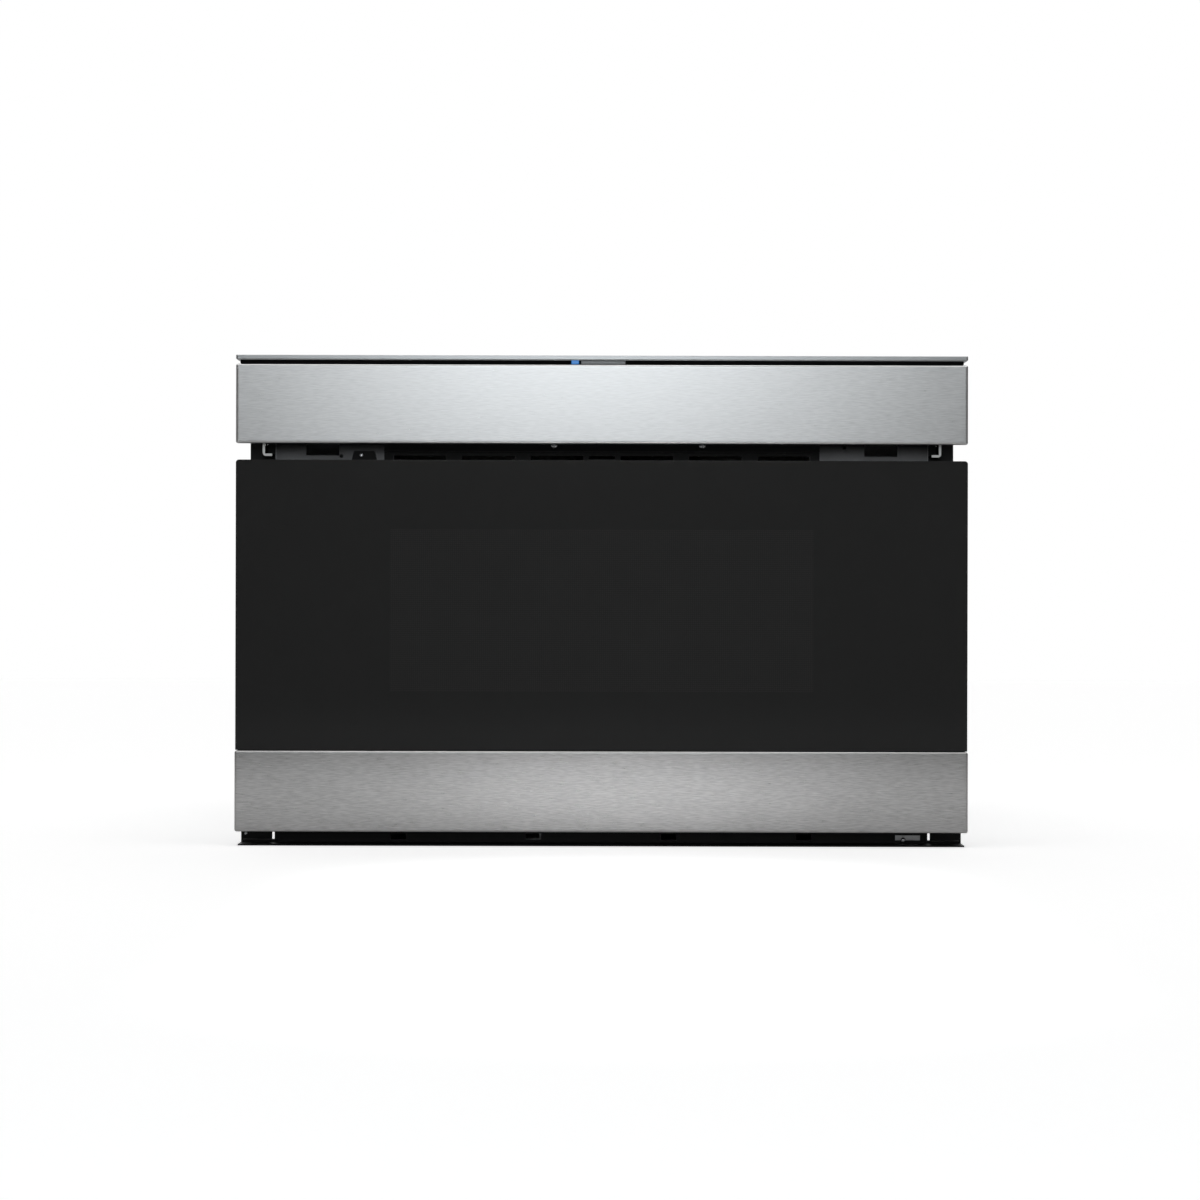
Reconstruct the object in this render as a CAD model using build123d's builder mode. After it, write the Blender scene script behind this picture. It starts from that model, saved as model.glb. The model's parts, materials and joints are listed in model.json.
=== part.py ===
from build123d import *

import os
from math import acos, cos, degrees, pi, radians, sin, sqrt, tan

os.makedirs("parts", exist_ok=True)

# A built-in microwave drawer. A motor pulls the whole drawer, front and bin, out of a fixed oven cavity
# on two telescopic rails, by a toothed rack under the cavity. Above it, a stainless flap hides the control
# glass and tips forward to show it. Millimetres, +Z up, the front faces -Y, and the origin is at the bottom
# centre of the overall box.

# ---------------------------------------------------------------- driving dimensions

# The front, from the floor up
drawer_floor_gap = 12.0  # floor to the bottom edge of the drawer front
fascia_height = 67.0  # stainless strip under the glass
glass_joint = 0.4
glass_height = 240.0
vent_gap = 13.6  # between the glass and the flap
flap_height = 65.5
slot_height = 3.5  # black slot over the flap
top_trim_height = 4.0

# The front, across
front_width = 606.0
glass_side_inset = 0.5  # these lie this much inside the front's sides
flap_side_inset = 0.5
top_trim_side_inset = 0.5
ledge_side_inset = 4.0
bottom_trim_side_inset = 2.0
frame_side_gap = 1.0  # drawer frame to the fascia's side returns
front_overhang = 30.0  # front beyond the case, on each side

# Common to many pieces
round_sides = 12  # of small or hidden round pieces
seam = 0.3  # between fixed pieces that meet

# The drawer front, from the face back
fascia_sheet = 1.0
fascia_bend = 1.6
fascia_return = 15.0
fascia_top_return = 4.2
glass_setback = 1.5
glass_thickness = 4.0
glass_corner = 2.5
glass_bevel = 0.6
door_depth = 34.0  # face to the back of the moulded frame
frame_wall = 3.0
frame_seam = 0.5  # frame to the fascia's sheet and to the glass's top edge
frame_ribs = 7
frame_window_margin = 6.0
panel_inset = 2.0
inner_sheet = 1.2
choke_depth = 3.3
plate_gap = 1.8  # drawer to front plate, closed
window_side_inset = 45.0  # inside the cavity's walls
window_sill = 24.0  # over the bin's underside
window_rim = 14.0  # under the top of the bin's front
screen_sheet = 0.8
screen_overlap = 8.0
inner_window_thickness = 2.0

# The oven cavity and the bays around it
cavity_height = 180.0
cavity_depth = 424.0
cavity_sheet = 1.0
cavity_corner = 8.0
cavity_flange = 5.0
floor_bay = 99.0  # under the cavity
side_bay = 51.0
top_bay = 86.0
rear_bay = 125.0
rear_stand_off = 2.5  # room for screw heads behind the rear panel
case_sheet = 1.0
plate_sheet = 1.2

# The chassis panels
case_flange = 12.0
pan_height = 15.0
cover_lip = 11.0
bead_width = 14.0
bead_height = 2.5
bead_taper = 30.0
bead_margin = 40.0
cover_bead_pitch = 150.0
vent_slot_length = 34.0
vent_slot_width = 4.0
vent_slot_pitch = 12.0
intake_slots = 8
side_slots = 6
side_slot_setback = 40.0  # behind the cavity
side_slot_drop = 20.0  # under the cavity's ceiling
rear_lip = 9.0
outlet_inset = 132.0  # inside the case's left side
outlet_z = 225.0
outlet_rows = 6
guard_slot_length = 16.0
guard_slot_width = 4.4
guard_rings = 2
guard_first_radius = 24.0
guard_ring_pitch = 18.0
guard_first_count = 6
guard_count_step = 3
gland_inset = 72.0  # inside the case's left side
gland_drop = 46.0  # under the top cover
gland_radius = 9.0
gland_rim = 2.5
gland_nut = 4.0
gland_bore = 4.2
side_flange_reach = 21.0
side_flange_leg = 25.0
side_flange_bottom = 14.0
side_flange_drop = 6.0  # its side leg, under the top cover's lip
mount_hole_radius = 2.5
mount_hole_low = 45.0
mount_hole_high = 295.0
mount_hole_inset = 6.0  # from the flange's outer edge
plate_top_gap = 6.0  # front plate to the underside of the top trim

# The top and bottom trims
top_trim_sheet = 1.0
trim_end_chamfer = 2.8
trim_end_rise = 2.2
top_trim_setback = 0.4
top_trim_corner = 1.4
lip_sheet = 1.2
lip_setback = 9.0
bottom_web = 1.5
bottom_web_height = 18.0
bottom_fillet = 3.0
bottom_slot_pitch = 113.0
bottom_slot_width = 12.5
bottom_slot_height = 5.0
bottom_slot_sill = 3.5
bottom_slots = 4
slit_width = 2.0
slit_z0 = 2.5
slit_z1 = 9.5
tab_window_inset = 27.0  # inside the case's side
tab_window_width = 21.0
tab_window_height = 4.2
levelling_tab_height = 9.0

# The bin
bin_side_gap = 8.0  # bin to the cavity wall
bin_floor_gap = 4.0
bin_back_gap = 16.0
bin_sheet = 1.2
bin_corner = 20.0
bin_bottom_radius = 5.0
bin_wall_height = 112.0
bin_front_height = 172.0
bin_shoulder = 16.0  # length of full height side wall behind the front
bin_slope = 60.0
bin_slope_radius = 18.0
floor_glass_thickness = 5.0
floor_glass_inset = 7.0
floor_glass_corner = 14.0
floor_glass_bevel = 0.8
choke_overlap_side = 21.0
choke_overlap_top = 30.0
choke_overlap_bottom = 28.0
choke_inner_gap = 1.2
choke_chamfer = 1.2

# The telescopic rails
drawer_travel = 380.0
rail_centre_z = 118.0
rail_height = 46.0
rail_thickness = 12.7
rail_sheet = 1.3
rail_lip = 3.5
rail_running_gap = 0.35
rail_length = 448.0
rail_start = 1.5  # behind the side panel's front flange
rail_shortfall = 8.0  # how much shorter the moving members are
rail_fixing_length = 14.0
rail_fixing_width = 5.0
rail_fixings = 3
rail_bracket_sheet = 1.5
rail_bracket_length = 54.0
rail_bracket_foot = 14.0
rail_notch_gap = 1.5

# Rack and pinion
rack_x = -60.0
rack_width = 12.0
rack_top_z = 66.0
rack_body = 10.0
gear_module = 2.5
pinion_teeth = 16
pressure_angle = 20.0
rack_addendum_share = 0.9
rack_dedendum_share = 1.15
pinion_addendum_share = 0.9
pinion_dedendum_share = 1.15
tooth_backlash = 0.3
flank_steps = 3
pinion_width = 10.0
pinion_from_plate = 46.0
rack_tail = 22.0  # toothed length left behind the pinion when open
shaft_radius = 4.0
shaft_gap = 0.06
cheek_sheet = 2.0
cheek_gap = 2.0
guide_gap = 0.35
guide_thickness = 4.0
guide_inset = 4.0
drive_length = 52.0
drive_foot = 14.0
rack_foot_sheet = 2.5
rack_foot_drop = 4.0
rack_slot_gap = 2.0
gearbox_width = 26.0
gearbox_ahead = 22.0  # in front of the pinion's axis
gearbox_behind = 40.0
gearbox_above = 24.0
gearbox_corner = 5.0
motor_radius = 17.5
motor_length = 52.0
motor_setback = 18.0  # behind the pinion's axis

# Latches
striker_inset = 27.0  # inside the case's side
striker_z = 296.0
striker_sheet = 3.0
striker_reach = 26.0
striker_height = 14.0
striker_gap = 1.5
striker_nose = 6.0
striker_throat = 5.0
striker_foot = 10.0
switch_length = 44.0
switch_height = 34.0
switch_wall = 4.0
baffle_lap = 3.0  # over the air hole's edges
baffle_sheet = 2.0
micro_width = 6.0
micro_length = 20.0
micro_height = 11.0

# The flap and its pivots
flap_sheet = 1.0
flap_bend = 1.6
flap_return = 8.0
flap_frame_overhang = 5.5  # beyond the case, on each side
flap_frame_depth = 21.0
flap_frame_wall = 2.0
flap_frame_top_gap = 2.5
flap_frame_bottom_gap = 2.0
pivot_setback = 12.0
pivot_rise = 5.0  # above the flap's bottom edge
pivot_radius = 2.5
pivot_gap = 0.06
pivot_boss = 4.0
pivot_end_float = 0.5  # between the flap's bosses and the brackets
pivot_end = 0.6  # past the left bracket
control_glass_thickness = 2.5
control_glass_bevel = 0.5
board_thickness = 1.6
board_clearance = 5.0
board_posts = 3
board_post = 5.0
board_post_height = 30.0
board_margin = 3.0
display_width = 120.0
display_height = 26.0
display_depth = 3.6
chip_x = 140.0
chip_side = 15.0
chip_depth = 2.0
bracket_sheet = 2.0
bracket_side_gap = 1.3
bracket_drop = 10.0  # below the flap's bottom edge
bracket_foot = 8.0
bracket_bend = 2.8
bracket_tenon_inset = 2.5  # above and below the tenon that passes through the flange
bracket_tenon_reach = 4.0  # behind the flange
bracket_rise = 36.0  # over the pivot
bracket_lobe = 4.5
bracket_leg_setback = 17.0
tilt_motor_width = 12.0
tilt_motor_depth = 24.0
tilt_motor_height = 34.0

# The fixed control housing in the flap's recess
housing_wall = 2.5
housing_ledge_gap = 0.7  # flap to the ledge above it
ledge_setback = 3.0
cheek_setback = 11.0
cheek_rise = 26.0
cheek_foot = 12.0
harness_slot_length = 46.0
harness_slot_width = 14.0
housing_drop_gap = 3.0  # above the flap's bottom edge
button_x = 1.0
button_width = 36.8
button_depth = 9.0
button_travel = 1.5
button_gap = 0.25
button_stem = 4.0
button_stem_length = 6.0
button_proud = 0.4
button_chamfer = 0.4
light_x = -22.3
light_width = 6.2
light_depth = 5.0
light_proud = 0.2
light_chamfer = 0.3

# The air grille over the drawer
grille_side_inset = 38.0  # inside the cavity's walls
grille_depth = 4.0
grille_wall = 1.4
grille_slot_width = 43.6
grille_slot_height = 4.2
grille_slot_pitch = 57.5
grille_first_slot = 37.5
grille_sill = 0.8
grille_lap = 6.0  # grille over the front plate's air way
grille_middle_width = 21.5
grille_middle_height = 2.4
grille_middle_sill = 2.6
grille_rib = 1.4
grille_rib_rise = 8.6
grille_dot_pitch = 51.3
grille_dot_radius = 1.2
grille_dot_sides = 8
grille_dot_proud = 0.6
vent_hole_beyond = 51.5  # these lie this much beyond the grille's end
vent_hole_width = 27.5
vent_hole_height = 14.0
vent_hole_sill = 5.0
pilot_radius = 1.6
pilot_left_beyond = 36.0
pilot_left_rise = 4.6
pilot_right_beyond = 21.0
pilot_right_rise = 12.6
sensor_beyond = 16.5
sensor_top_width = 17.0
sensor_bottom_width = 21.0
sensor_height = 8.0
sensor_depth = 7.0
sensor_rise = 0.6
sensor_corner = 0.8

# Stirrer, wave guide, magnetron
feed_radius = 32.0
guide_width = 90.0
guide_height = 40.0
guide_sheet = 1.2
guide_front_reach = 45.0
guide_flange = 10.0
guide_lap = 10.0  # past the magnetron's plate
magnetron_offset = 48.0  # behind the cavity
antenna_radius = 7.5
antenna_gap = 4.0
stirrer_radius = 68.0
stirrer_blades = 4
stirrer_hub_radius = 16.0
stirrer_blade_width = 22.0
stirrer_slot_length = 26.0
stirrer_slot_width = 7.0
stirrer_sheet = 1.2
stirrer_drop = 6.0
stirrer_shaft_radius = 3.0
stirrer_gap = 0.08
stirrer_cover_side = 190.0
stirrer_cover_drop = 17.0
stirrer_cover_wall = 2.0
stirrer_motor_radius = 24.0
stirrer_motor_height = 20.0
motor_ear = 12.0
motor_ear_sheet = 1.5
stirrer_cover_taper = 8.0

# Cooling fan and air ducts
fan_inset = 107.0  # inside the case's right side
fan_z = 195.0
fan_frame = 120.0
fan_frame_depth = 32.0
fan_bore = 54.0
fan_hub_radius = 17.0
fan_hub_depth = 14.0
fan_hub_setback = 8.0
fan_blades = 7
fan_blade_radius = 51.0
blade_root_chord = 14.0
blade_tip_chord = 24.0
blade_pitch = 33.0
blade_thickness = 1.6
fan_shaft_radius = 2.5
fan_shaft_gap = 0.08
fan_shaft_end = 2.0
fan_motor_radius = 23.0
fan_motor_length = 30.0
fan_strut = 6.0
fan_strut_depth = 3.0
duct_x0 = 60.0
duct_gap = 1.0
duct_wall = 2.0
exhaust_depth = 80.0

# Magnetron, below the wave guide's end
tube_plate = 2.0
tube_plate_width = 104.0
tube_plate_depth = 76.0
yoke_width = 92.0
yoke_depth = 68.0
yoke_height = 80.0
yoke_sheet = 2.0
anode_radius = 18.0
antenna_height = 20.0
fins = 6
fin_pitch = 10.0
fin_sheet = 0.8
filter_box_width = 70.0
filter_box_depth = 60.0
filter_box_height = 36.0

# Power supply, behind the cavity
transformer_inset = 87.0  # inside the case's left side
transformer_setback = 52.0  # behind the cavity
core_width = 100.0
core_height = 78.0
core_depth = 48.0
core_window_width = 20.0
core_window_height = 42.0
core_window_pitch = 52.0
foot_width = 122.0
foot_depth = 40.0
foot_sheet = 2.0
coil_overhang = 18.0
coil_height = 40.0
coil_gap = 1.0
capacitor_inset = 172.0
capacitor_setback = 50.0
capacitor_length = 56.0
capacitor_width = 34.0
capacitor_height = 88.0
terminal_width = 7.0
terminal_sheet = 1.5
terminal_height = 12.0
terminal_pitch = 20.0

# Control board, over the cavity
power_board_inset = 114.0  # inside the case's right side
power_board_width = 156.0
power_board_length = 190.0
power_board_rise = 9.0  # standoffs
standoff = 7.0
standoff_inset = 12.0
relays = 3
relay_width = 28.0
relay_length = 18.0
relay_height = 18.0
relay_pitch = 26.0
supply_width = 42.0
supply_length = 36.0
supply_height = 32.0
sink_fins = 6
sink_fin_pitch = 8.0
sink_fin_sheet = 2.0
sink_length = 40.0
sink_height = 28.0
plugs = 3
plug_width = 26.0
plug_length = 10.0
plug_height = 10.0
plug_pitch = 40.0

# Oven lamp, on the cavity's right wall
lamp_width = 48.0
lamp_depth = 26.0
lamp_height = 36.0
lamp_drop = 40.0  # below the cavity's ceiling
lamp_ahead = 20.0  # in front of the stirrer
lamp_wall = 1.0
lamp_socket_radius = 7.0
lamp_socket_length = 12.0
bulb_radius = 9.0
bulb_length = 16.0
bulb_chamfer = 4.0
lamp_slot_length = 24.0
lamp_slot_width = 3.4
lamp_slot_pitch = 8.0
lamp_slots = 5

# ---------------------------------------------------------------- places worked out from them

fascia_z0 = drawer_floor_gap
fascia_z1 = fascia_z0 + fascia_height
glass_z0 = fascia_z1 + glass_joint
glass_z1 = glass_z0 + glass_height
flap_z0 = glass_z1 + vent_gap
flap_z1 = flap_z0 + flap_height
trim_z0 = flap_z1 + slot_height

plate_setback = door_depth + inner_sheet + choke_depth + plate_gap
chassis_depth = cavity_depth + cavity_sheet + rear_bay + case_sheet
overall_depth = plate_setback + plate_sheet + chassis_depth + rear_stand_off

front_y = -overall_depth / 2
back_y = overall_depth / 2
plate_y = front_y + plate_setback
plate_back = plate_y + plate_sheet
cavity_back = plate_back + cavity_depth + cavity_sheet
case_back = back_y - rear_stand_off
rear_inner = case_back - case_sheet

cavity_floor = floor_bay + cavity_sheet
cavity_ceiling = cavity_floor + cavity_height
cavity_top = cavity_ceiling + cavity_sheet
case_top = cavity_top + top_bay + case_sheet
plate_top = trim_z0 - plate_top_gap

fascia_half = front_width / 2
glass_half = fascia_half - glass_side_inset
flap_half = fascia_half - flap_side_inset
top_trim_half = fascia_half - top_trim_side_inset
bottom_trim_half = fascia_half - bottom_trim_side_inset
ledge_half = fascia_half - ledge_side_inset
case_half = fascia_half - front_overhang
side_inner = case_half - case_sheet
cavity_half = side_inner - side_bay - cavity_sheet
plate_half = case_half - seam
grille_half = cavity_half - grille_side_inset
frame_y = front_y + glass_setback + glass_thickness
frame_half = fascia_half - fascia_sheet - frame_side_gap
frame_z0 = fascia_z0 + fascia_sheet + frame_seam
frame_z1 = glass_z1 - frame_seam
door_back = front_y + door_depth
panel_back = door_back + inner_sheet
window_half = cavity_half - window_side_inset
screen_half = window_half + screen_overlap

bin_half = cavity_half - bin_side_gap
bin_z0 = cavity_floor + bin_floor_gap
bin_top = bin_z0 + bin_front_height
window_bottom = bin_z0 + window_sill
window_top = bin_top - window_rim
bin_wall_top = bin_z0 + bin_wall_height
bin_y1 = cavity_back - cavity_sheet - bin_back_gap

rail_y = plate_back + case_sheet + rail_start
rack_pitch_z = rack_top_z - rack_body - rack_dedendum_share * gear_module
pinion_pitch_radius = gear_module * pinion_teeth / 2
pinion_z = rack_pitch_z - pinion_pitch_radius
pinion_y = plate_back + pinion_from_plate
stirrer_y = plate_back + cavity_depth / 2
lamp_y = stirrer_y - lamp_ahead
lamp_z = cavity_ceiling - lamp_drop
striker_x = case_half - striker_inset
tab_window_x0 = case_half - tab_window_inset
gland_x = gland_inset - side_inner
outlet_x = outlet_inset - side_inner
transformer_x = transformer_inset - side_inner
capacitor_x = capacitor_inset - side_inner
fan_x = side_inner - fan_inset
power_board_x = side_inner - power_board_inset

pivot_y = front_y + pivot_setback
pivot_z = flap_z0 + pivot_rise
frame_flap_half = case_half + flap_frame_overhang
bracket_x = frame_flap_half + bracket_side_gap
ledge_z0 = flap_z1 + housing_ledge_gap
housing_z0 = flap_z0 + housing_drop_gap
bracket_z0 = flap_z0 - bracket_drop
bracket_step_z = housing_z0 - seam
tenon_z0 = bracket_z0 + bracket_tenon_inset
tenon_z1 = bracket_step_z - bracket_tenon_inset
vent_z0 = glass_z1 + vent_hole_sill
vent_hole_x = grille_half + vent_hole_beyond
sides = (("left", -1), ("right", 1))


# ---------------------------------------------------------------- helpers


def facing(y):
    """The upright plane at depth y as seen from the front: local x is X and local y is Z."""
    return Plane.XZ.offset(-y)


def slab(x0, x1, y0, y1, radius=0.0, mode=Mode.ADD):
    """A rectangle in the current sketch, given by its four sides, with rounded corners if asked."""
    with Locations(((x0 + x1) / 2, (y0 + y1) / 2)):
        if radius:
            RectangleRounded(abs(x1 - x0), y1 - y0, radius, mode=mode)
        else:
            Rectangle(abs(x1 - x0), y1 - y0, mode=mode)


def prism(x0, x1, y0, y1, z0, z1, mode=Mode.ADD):
    """A box in the current part, given by its six sides."""
    with Locations(((x0 + x1) / 2, (y0 + y1) / 2, (z0 + z1) / 2)):
        Box(abs(x1 - x0), y1 - y0, z1 - z0, mode=mode)


def bead(x0, x1, y0, y1, z):
    """Presses a hollow bead upwards into the case sheet whose underside is at z, in the current part."""
    with BuildSketch(Plane.XY.offset(z + case_sheet)) as ridge:
        slab(x0, x1, y0, y1)
    extrude(ridge.sketch, amount=bead_height, taper=bead_taper)
    inset = 2 * case_sheet
    with BuildSketch(Plane.XY.offset(z)) as hollow:
        slab(x0 + inset, x1 - inset, y0 + inset, y1 - inset)
    extrude(hollow.sketch, amount=bead_height, taper=bead_taper, mode=Mode.SUBTRACT)


def keep(piece, name):
    """Labels a finished piece and writes it to its own file."""
    piece.part.label = name
    export_step(piece.part, f"parts/{name}.step")


# ---------------------------------------------------------------- the drawer front

with BuildPart() as lower_fascia:
    with BuildSketch(facing(front_y)):
        slab(-fascia_half, fascia_half, fascia_z0, fascia_z1)
    extrude(amount=-fascia_return)
    fillet(lower_fascia.faces().sort_by(Axis.Y)[0].edges(), fascia_bend)
    offset(amount=-fascia_sheet, openings=lower_fascia.faces().sort_by(Axis.Y)[-1])
    # the top return stops short of the moulded frame behind the glass
    with BuildSketch(facing(front_y + fascia_top_return)):
        slab(-fascia_half, fascia_half, fascia_z1 - fascia_bend - fascia_sheet, fascia_z1)
    extrude(amount=-fascia_return, mode=Mode.SUBTRACT)
keep(lower_fascia, "lower_fascia")

with BuildPart() as front_glass:
    with BuildSketch(facing(front_y + glass_setback)):
        slab(-glass_half, glass_half, glass_z0, glass_z1, radius=glass_corner)
    extrude(amount=-glass_thickness)
    chamfer(front_glass.faces().sort_by(Axis.Y)[0].edges(), glass_bevel)
keep(front_glass, "front_glass")

pad_inset = fascia_sheet + fascia_bend
with BuildPart() as front_frame:
    with BuildSketch(facing(frame_y)):
        slab(-frame_half, frame_half, frame_z0, frame_z1)
    extrude(amount=-(door_back - frame_y))
    offset(amount=-frame_wall, openings=front_frame.faces().sort_by(Axis.Y)[-1])
    # a raised pad backs the stainless strip, below the glass
    with BuildSketch(facing(frame_y)):
        slab(-fascia_half + pad_inset, fascia_half - pad_inset, fascia_z0 + pad_inset, fascia_z1 - pad_inset)
    extrude(amount=frame_y - front_y - fascia_sheet)
    # upright ribs stiffen the moulding below the window
    with GridLocations(2 * frame_half / (frame_ribs + 1), 1, frame_ribs, 1):
        with Locations((0, (frame_y + door_back) / 2, (frame_z0 + glass_z0) / 2)):
            Box(frame_wall, door_back - frame_y - 2 * frame_wall, glass_z0 - frame_z0)
    with BuildSketch(facing(frame_y)):
        margin = frame_window_margin
        slab(-window_half - margin, window_half + margin, window_bottom - margin, window_top + margin)
    extrude(amount=-frame_wall, mode=Mode.SUBTRACT)
keep(front_frame, "front_frame")

with BuildPart() as inner_panel:
    with BuildSketch(facing(door_back)):
        panel_half = frame_half - panel_inset
        slab(-panel_half, panel_half, frame_z0 + panel_inset, frame_z1 - panel_inset)
        slab(-window_half, window_half, window_bottom, window_top, mode=Mode.SUBTRACT)
    extrude(amount=-inner_sheet)
keep(inner_panel, "inner_panel")

with BuildPart() as window_screen:
    with BuildSketch(facing(door_back - screen_sheet)):
        slab(-screen_half, screen_half, window_bottom - screen_overlap, window_top + screen_overlap)
    extrude(amount=-screen_sheet)
keep(window_screen, "window_screen")

choke_half = cavity_half + choke_overlap_side
choke_z0 = cavity_floor - choke_overlap_bottom
choke_z1 = cavity_ceiling + choke_overlap_top
with BuildPart() as choke_cover:
    with BuildSketch(facing(panel_back)):
        slab(-choke_half, choke_half, choke_z0, choke_z1)
        hole_half = bin_half + choke_inner_gap
        slab(-hole_half, hole_half, bin_z0 - choke_inner_gap, bin_top + choke_inner_gap, mode=Mode.SUBTRACT)
    extrude(amount=-choke_depth)
    chamfer(choke_cover.faces().sort_by(Axis.Y)[-1].outer_wire().edges(), choke_chamfer)
keep(choke_cover, "choke_cover")

with BuildPart() as inner_window:
    with BuildSketch(facing(panel_back + bin_sheet)):
        slab(-screen_half, screen_half, window_bottom - screen_overlap, window_top + screen_overlap)
    extrude(amount=-inner_window_thickness)
keep(inner_window, "inner_window")

# ---------------------------------------------------------------- the bin

with BuildPart() as drawer_bin:
    with BuildSketch(Plane.XY.offset(bin_z0)) as footprint:
        slab(-bin_half, bin_half, panel_back, bin_y1)
        fillet(footprint.vertices().group_by(Axis.Y)[-1], bin_corner)
    extrude(amount=bin_front_height)
    # the bottom is rounded except along the drawer front
    fillet(drawer_bin.faces().sort_by(Axis.Z)[0].edges().sort_by(Axis.Y)[1:], bin_bottom_radius)
    offset(amount=-bin_sheet, openings=drawer_bin.faces().sort_by(Axis.Z)[-1])
    # side walls drop from the tall front to the low sides and back
    with BuildSketch(Plane.YZ) as wall_cut:
        with BuildLine():
            Polyline(
                (panel_back + bin_shoulder, bin_top + 1),
                (panel_back + bin_shoulder, bin_top - bin_shoulder),
                (panel_back + bin_shoulder + bin_slope, bin_wall_top),
                (bin_y1 + 1, bin_wall_top),
                (bin_y1 + 1, bin_top + 1),
                close=True,
            )
        make_face()
        fillet(wall_cut.vertices().group_by(Axis.Y)[1], bin_slope_radius)
    extrude(amount=bin_half + 1, both=True, mode=Mode.SUBTRACT)
    with BuildSketch(facing(panel_back)):
        slab(-window_half, window_half, window_bottom, window_top)
    extrude(amount=-bin_sheet, mode=Mode.SUBTRACT)
keep(drawer_bin, "drawer_bin")

with BuildPart() as bin_floor:
    with BuildSketch(Plane.XY.offset(bin_z0 + bin_sheet)):
        pane_half = bin_half - floor_glass_inset
        pane_y0, pane_y1 = panel_back + floor_glass_inset, bin_y1 - floor_glass_inset
        slab(-pane_half, pane_half, pane_y0, pane_y1, radius=floor_glass_corner)
    extrude(amount=floor_glass_thickness)
    chamfer(bin_floor.faces().sort_by(Axis.Z)[-1].edges(), floor_glass_bevel)
keep(bin_floor, "bin_floor")

# ---------------------------------------------------------------- telescopic rails


def rail_section(web_x, mouth_x, height, lip):
    """A C section in the current sketch, from its web to its mouth, with lips turned in at the mouth."""
    wall = rail_sheet if mouth_x > web_x else -rail_sheet
    low, high = rail_centre_z - height / 2, rail_centre_z + height / 2
    slab(web_x, mouth_x, low, high)
    low, high = low + rail_sheet, high - rail_sheet
    slab(web_x + wall, mouth_x - wall, low, high, mode=Mode.SUBTRACT)
    slab(mouth_x - wall, mouth_x, low + lip, high - lip, mode=Mode.SUBTRACT)


rail_step = rail_sheet + rail_running_gap  # one nested section to the next
rail_web_x = side_inner
rail_mouth_x = side_inner - rail_thickness
middle_height = rail_height - 2 * rail_step
middle_lip = rail_lip - rail_running_gap
inner_height = middle_height - 2 * rail_step
inner_web_x = rail_mouth_x + 2 * rail_step
bracket_height = middle_height - 2 * (rail_sheet + middle_lip + rail_notch_gap)
member_length = rail_length - rail_shortfall
for side, sign in sides:
    with BuildPart() as rail_outer:
        with BuildSketch(facing(rail_y)):
            rail_section(sign * rail_web_x, sign * rail_mouth_x, rail_height, rail_lip)
        extrude(amount=-rail_length)
        # fixing slots through the web
        with BuildSketch(Plane.YZ.offset(sign * (rail_web_x - rail_sheet))):
            with Locations((rail_y + rail_length / 2, rail_centre_z)):
                with GridLocations(rail_length / rail_fixings, 1, rail_fixings, 1):
                    Rectangle(rail_fixing_length, rail_fixing_width)
        extrude(amount=sign * rail_sheet, mode=Mode.SUBTRACT)
    keep(rail_outer, f"rail_outer_{side}")

    with BuildPart() as rail_middle:
        with BuildSketch(facing(rail_y + rail_shortfall / 2)):
            middle_web = sign * (rail_web_x - rail_step)
            middle_mouth = sign * (rail_mouth_x + rail_step)
            rail_section(middle_web, middle_mouth, middle_height, middle_lip)
        extrude(amount=-member_length)
    keep(rail_middle, f"rail_middle_{side}")

    # the inner member faces the other way, so that its web closes the middle one's mouth
    with BuildPart() as rail_inner:
        with BuildSketch(facing(panel_back + rail_bracket_sheet)):
            rail_section(sign * inner_web_x, sign * (rail_web_x - 2 * rail_step), inner_height, 0)
        extrude(amount=-member_length)
    keep(rail_inner, f"rail_inner_{side}")

with BuildPart() as rail_brackets:
    with BuildSketch(Plane.XY.offset(rail_centre_z - bracket_height / 2)):
        slab(inner_web_x - rail_bracket_foot, inner_web_x, panel_back, panel_back + rail_bracket_sheet)
        slab(inner_web_x - rail_bracket_sheet, inner_web_x, panel_back, panel_back + rail_bracket_length)
    extrude(amount=bracket_height)
    mirror(about=Plane.YZ)
keep(rail_brackets, "rail_brackets")

# ---------------------------------------------------------------- rack and pinion

alpha = radians(pressure_angle)
tooth_pitch = pi * gear_module
rack_tip_z = rack_pitch_z - rack_addendum_share * gear_module
rack_root_z = rack_top_z - rack_body
rack_front = panel_back
rack_back = pinion_y + drawer_travel + rack_tail
# the pinion's tooth points straight up at pinion_y, so a rack gap has to be centred there
gaps_ahead = int((pinion_y - rack_front) / tooth_pitch - 1)
gaps_behind = int((rack_back - pinion_y) / tooth_pitch - 1)
gap_centres = [pinion_y + n * tooth_pitch for n in range(-gaps_ahead, gaps_behind + 1)]
half_gap_pitch = tooth_pitch / 4 + tooth_backlash / 4


def rack_gap(y):
    """The points of one gap between two rack teeth, open downwards and centred at y."""
    half_root = half_gap_pitch - (rack_root_z - rack_pitch_z) * tan(alpha)
    half_tip = half_gap_pitch + (rack_pitch_z - rack_tip_z) * tan(alpha)
    return [
        (y - half_tip, rack_tip_z),
        (y - half_root, rack_root_z),
        (y + half_root, rack_root_z),
        (y + half_tip, rack_tip_z),
    ]


rack_points = [(rack_front, rack_tip_z)]
for centre in gap_centres:
    rack_points += rack_gap(centre)
rack_points += [(rack_back, rack_tip_z), (rack_back, rack_top_z), (rack_front, rack_top_z)]

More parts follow.
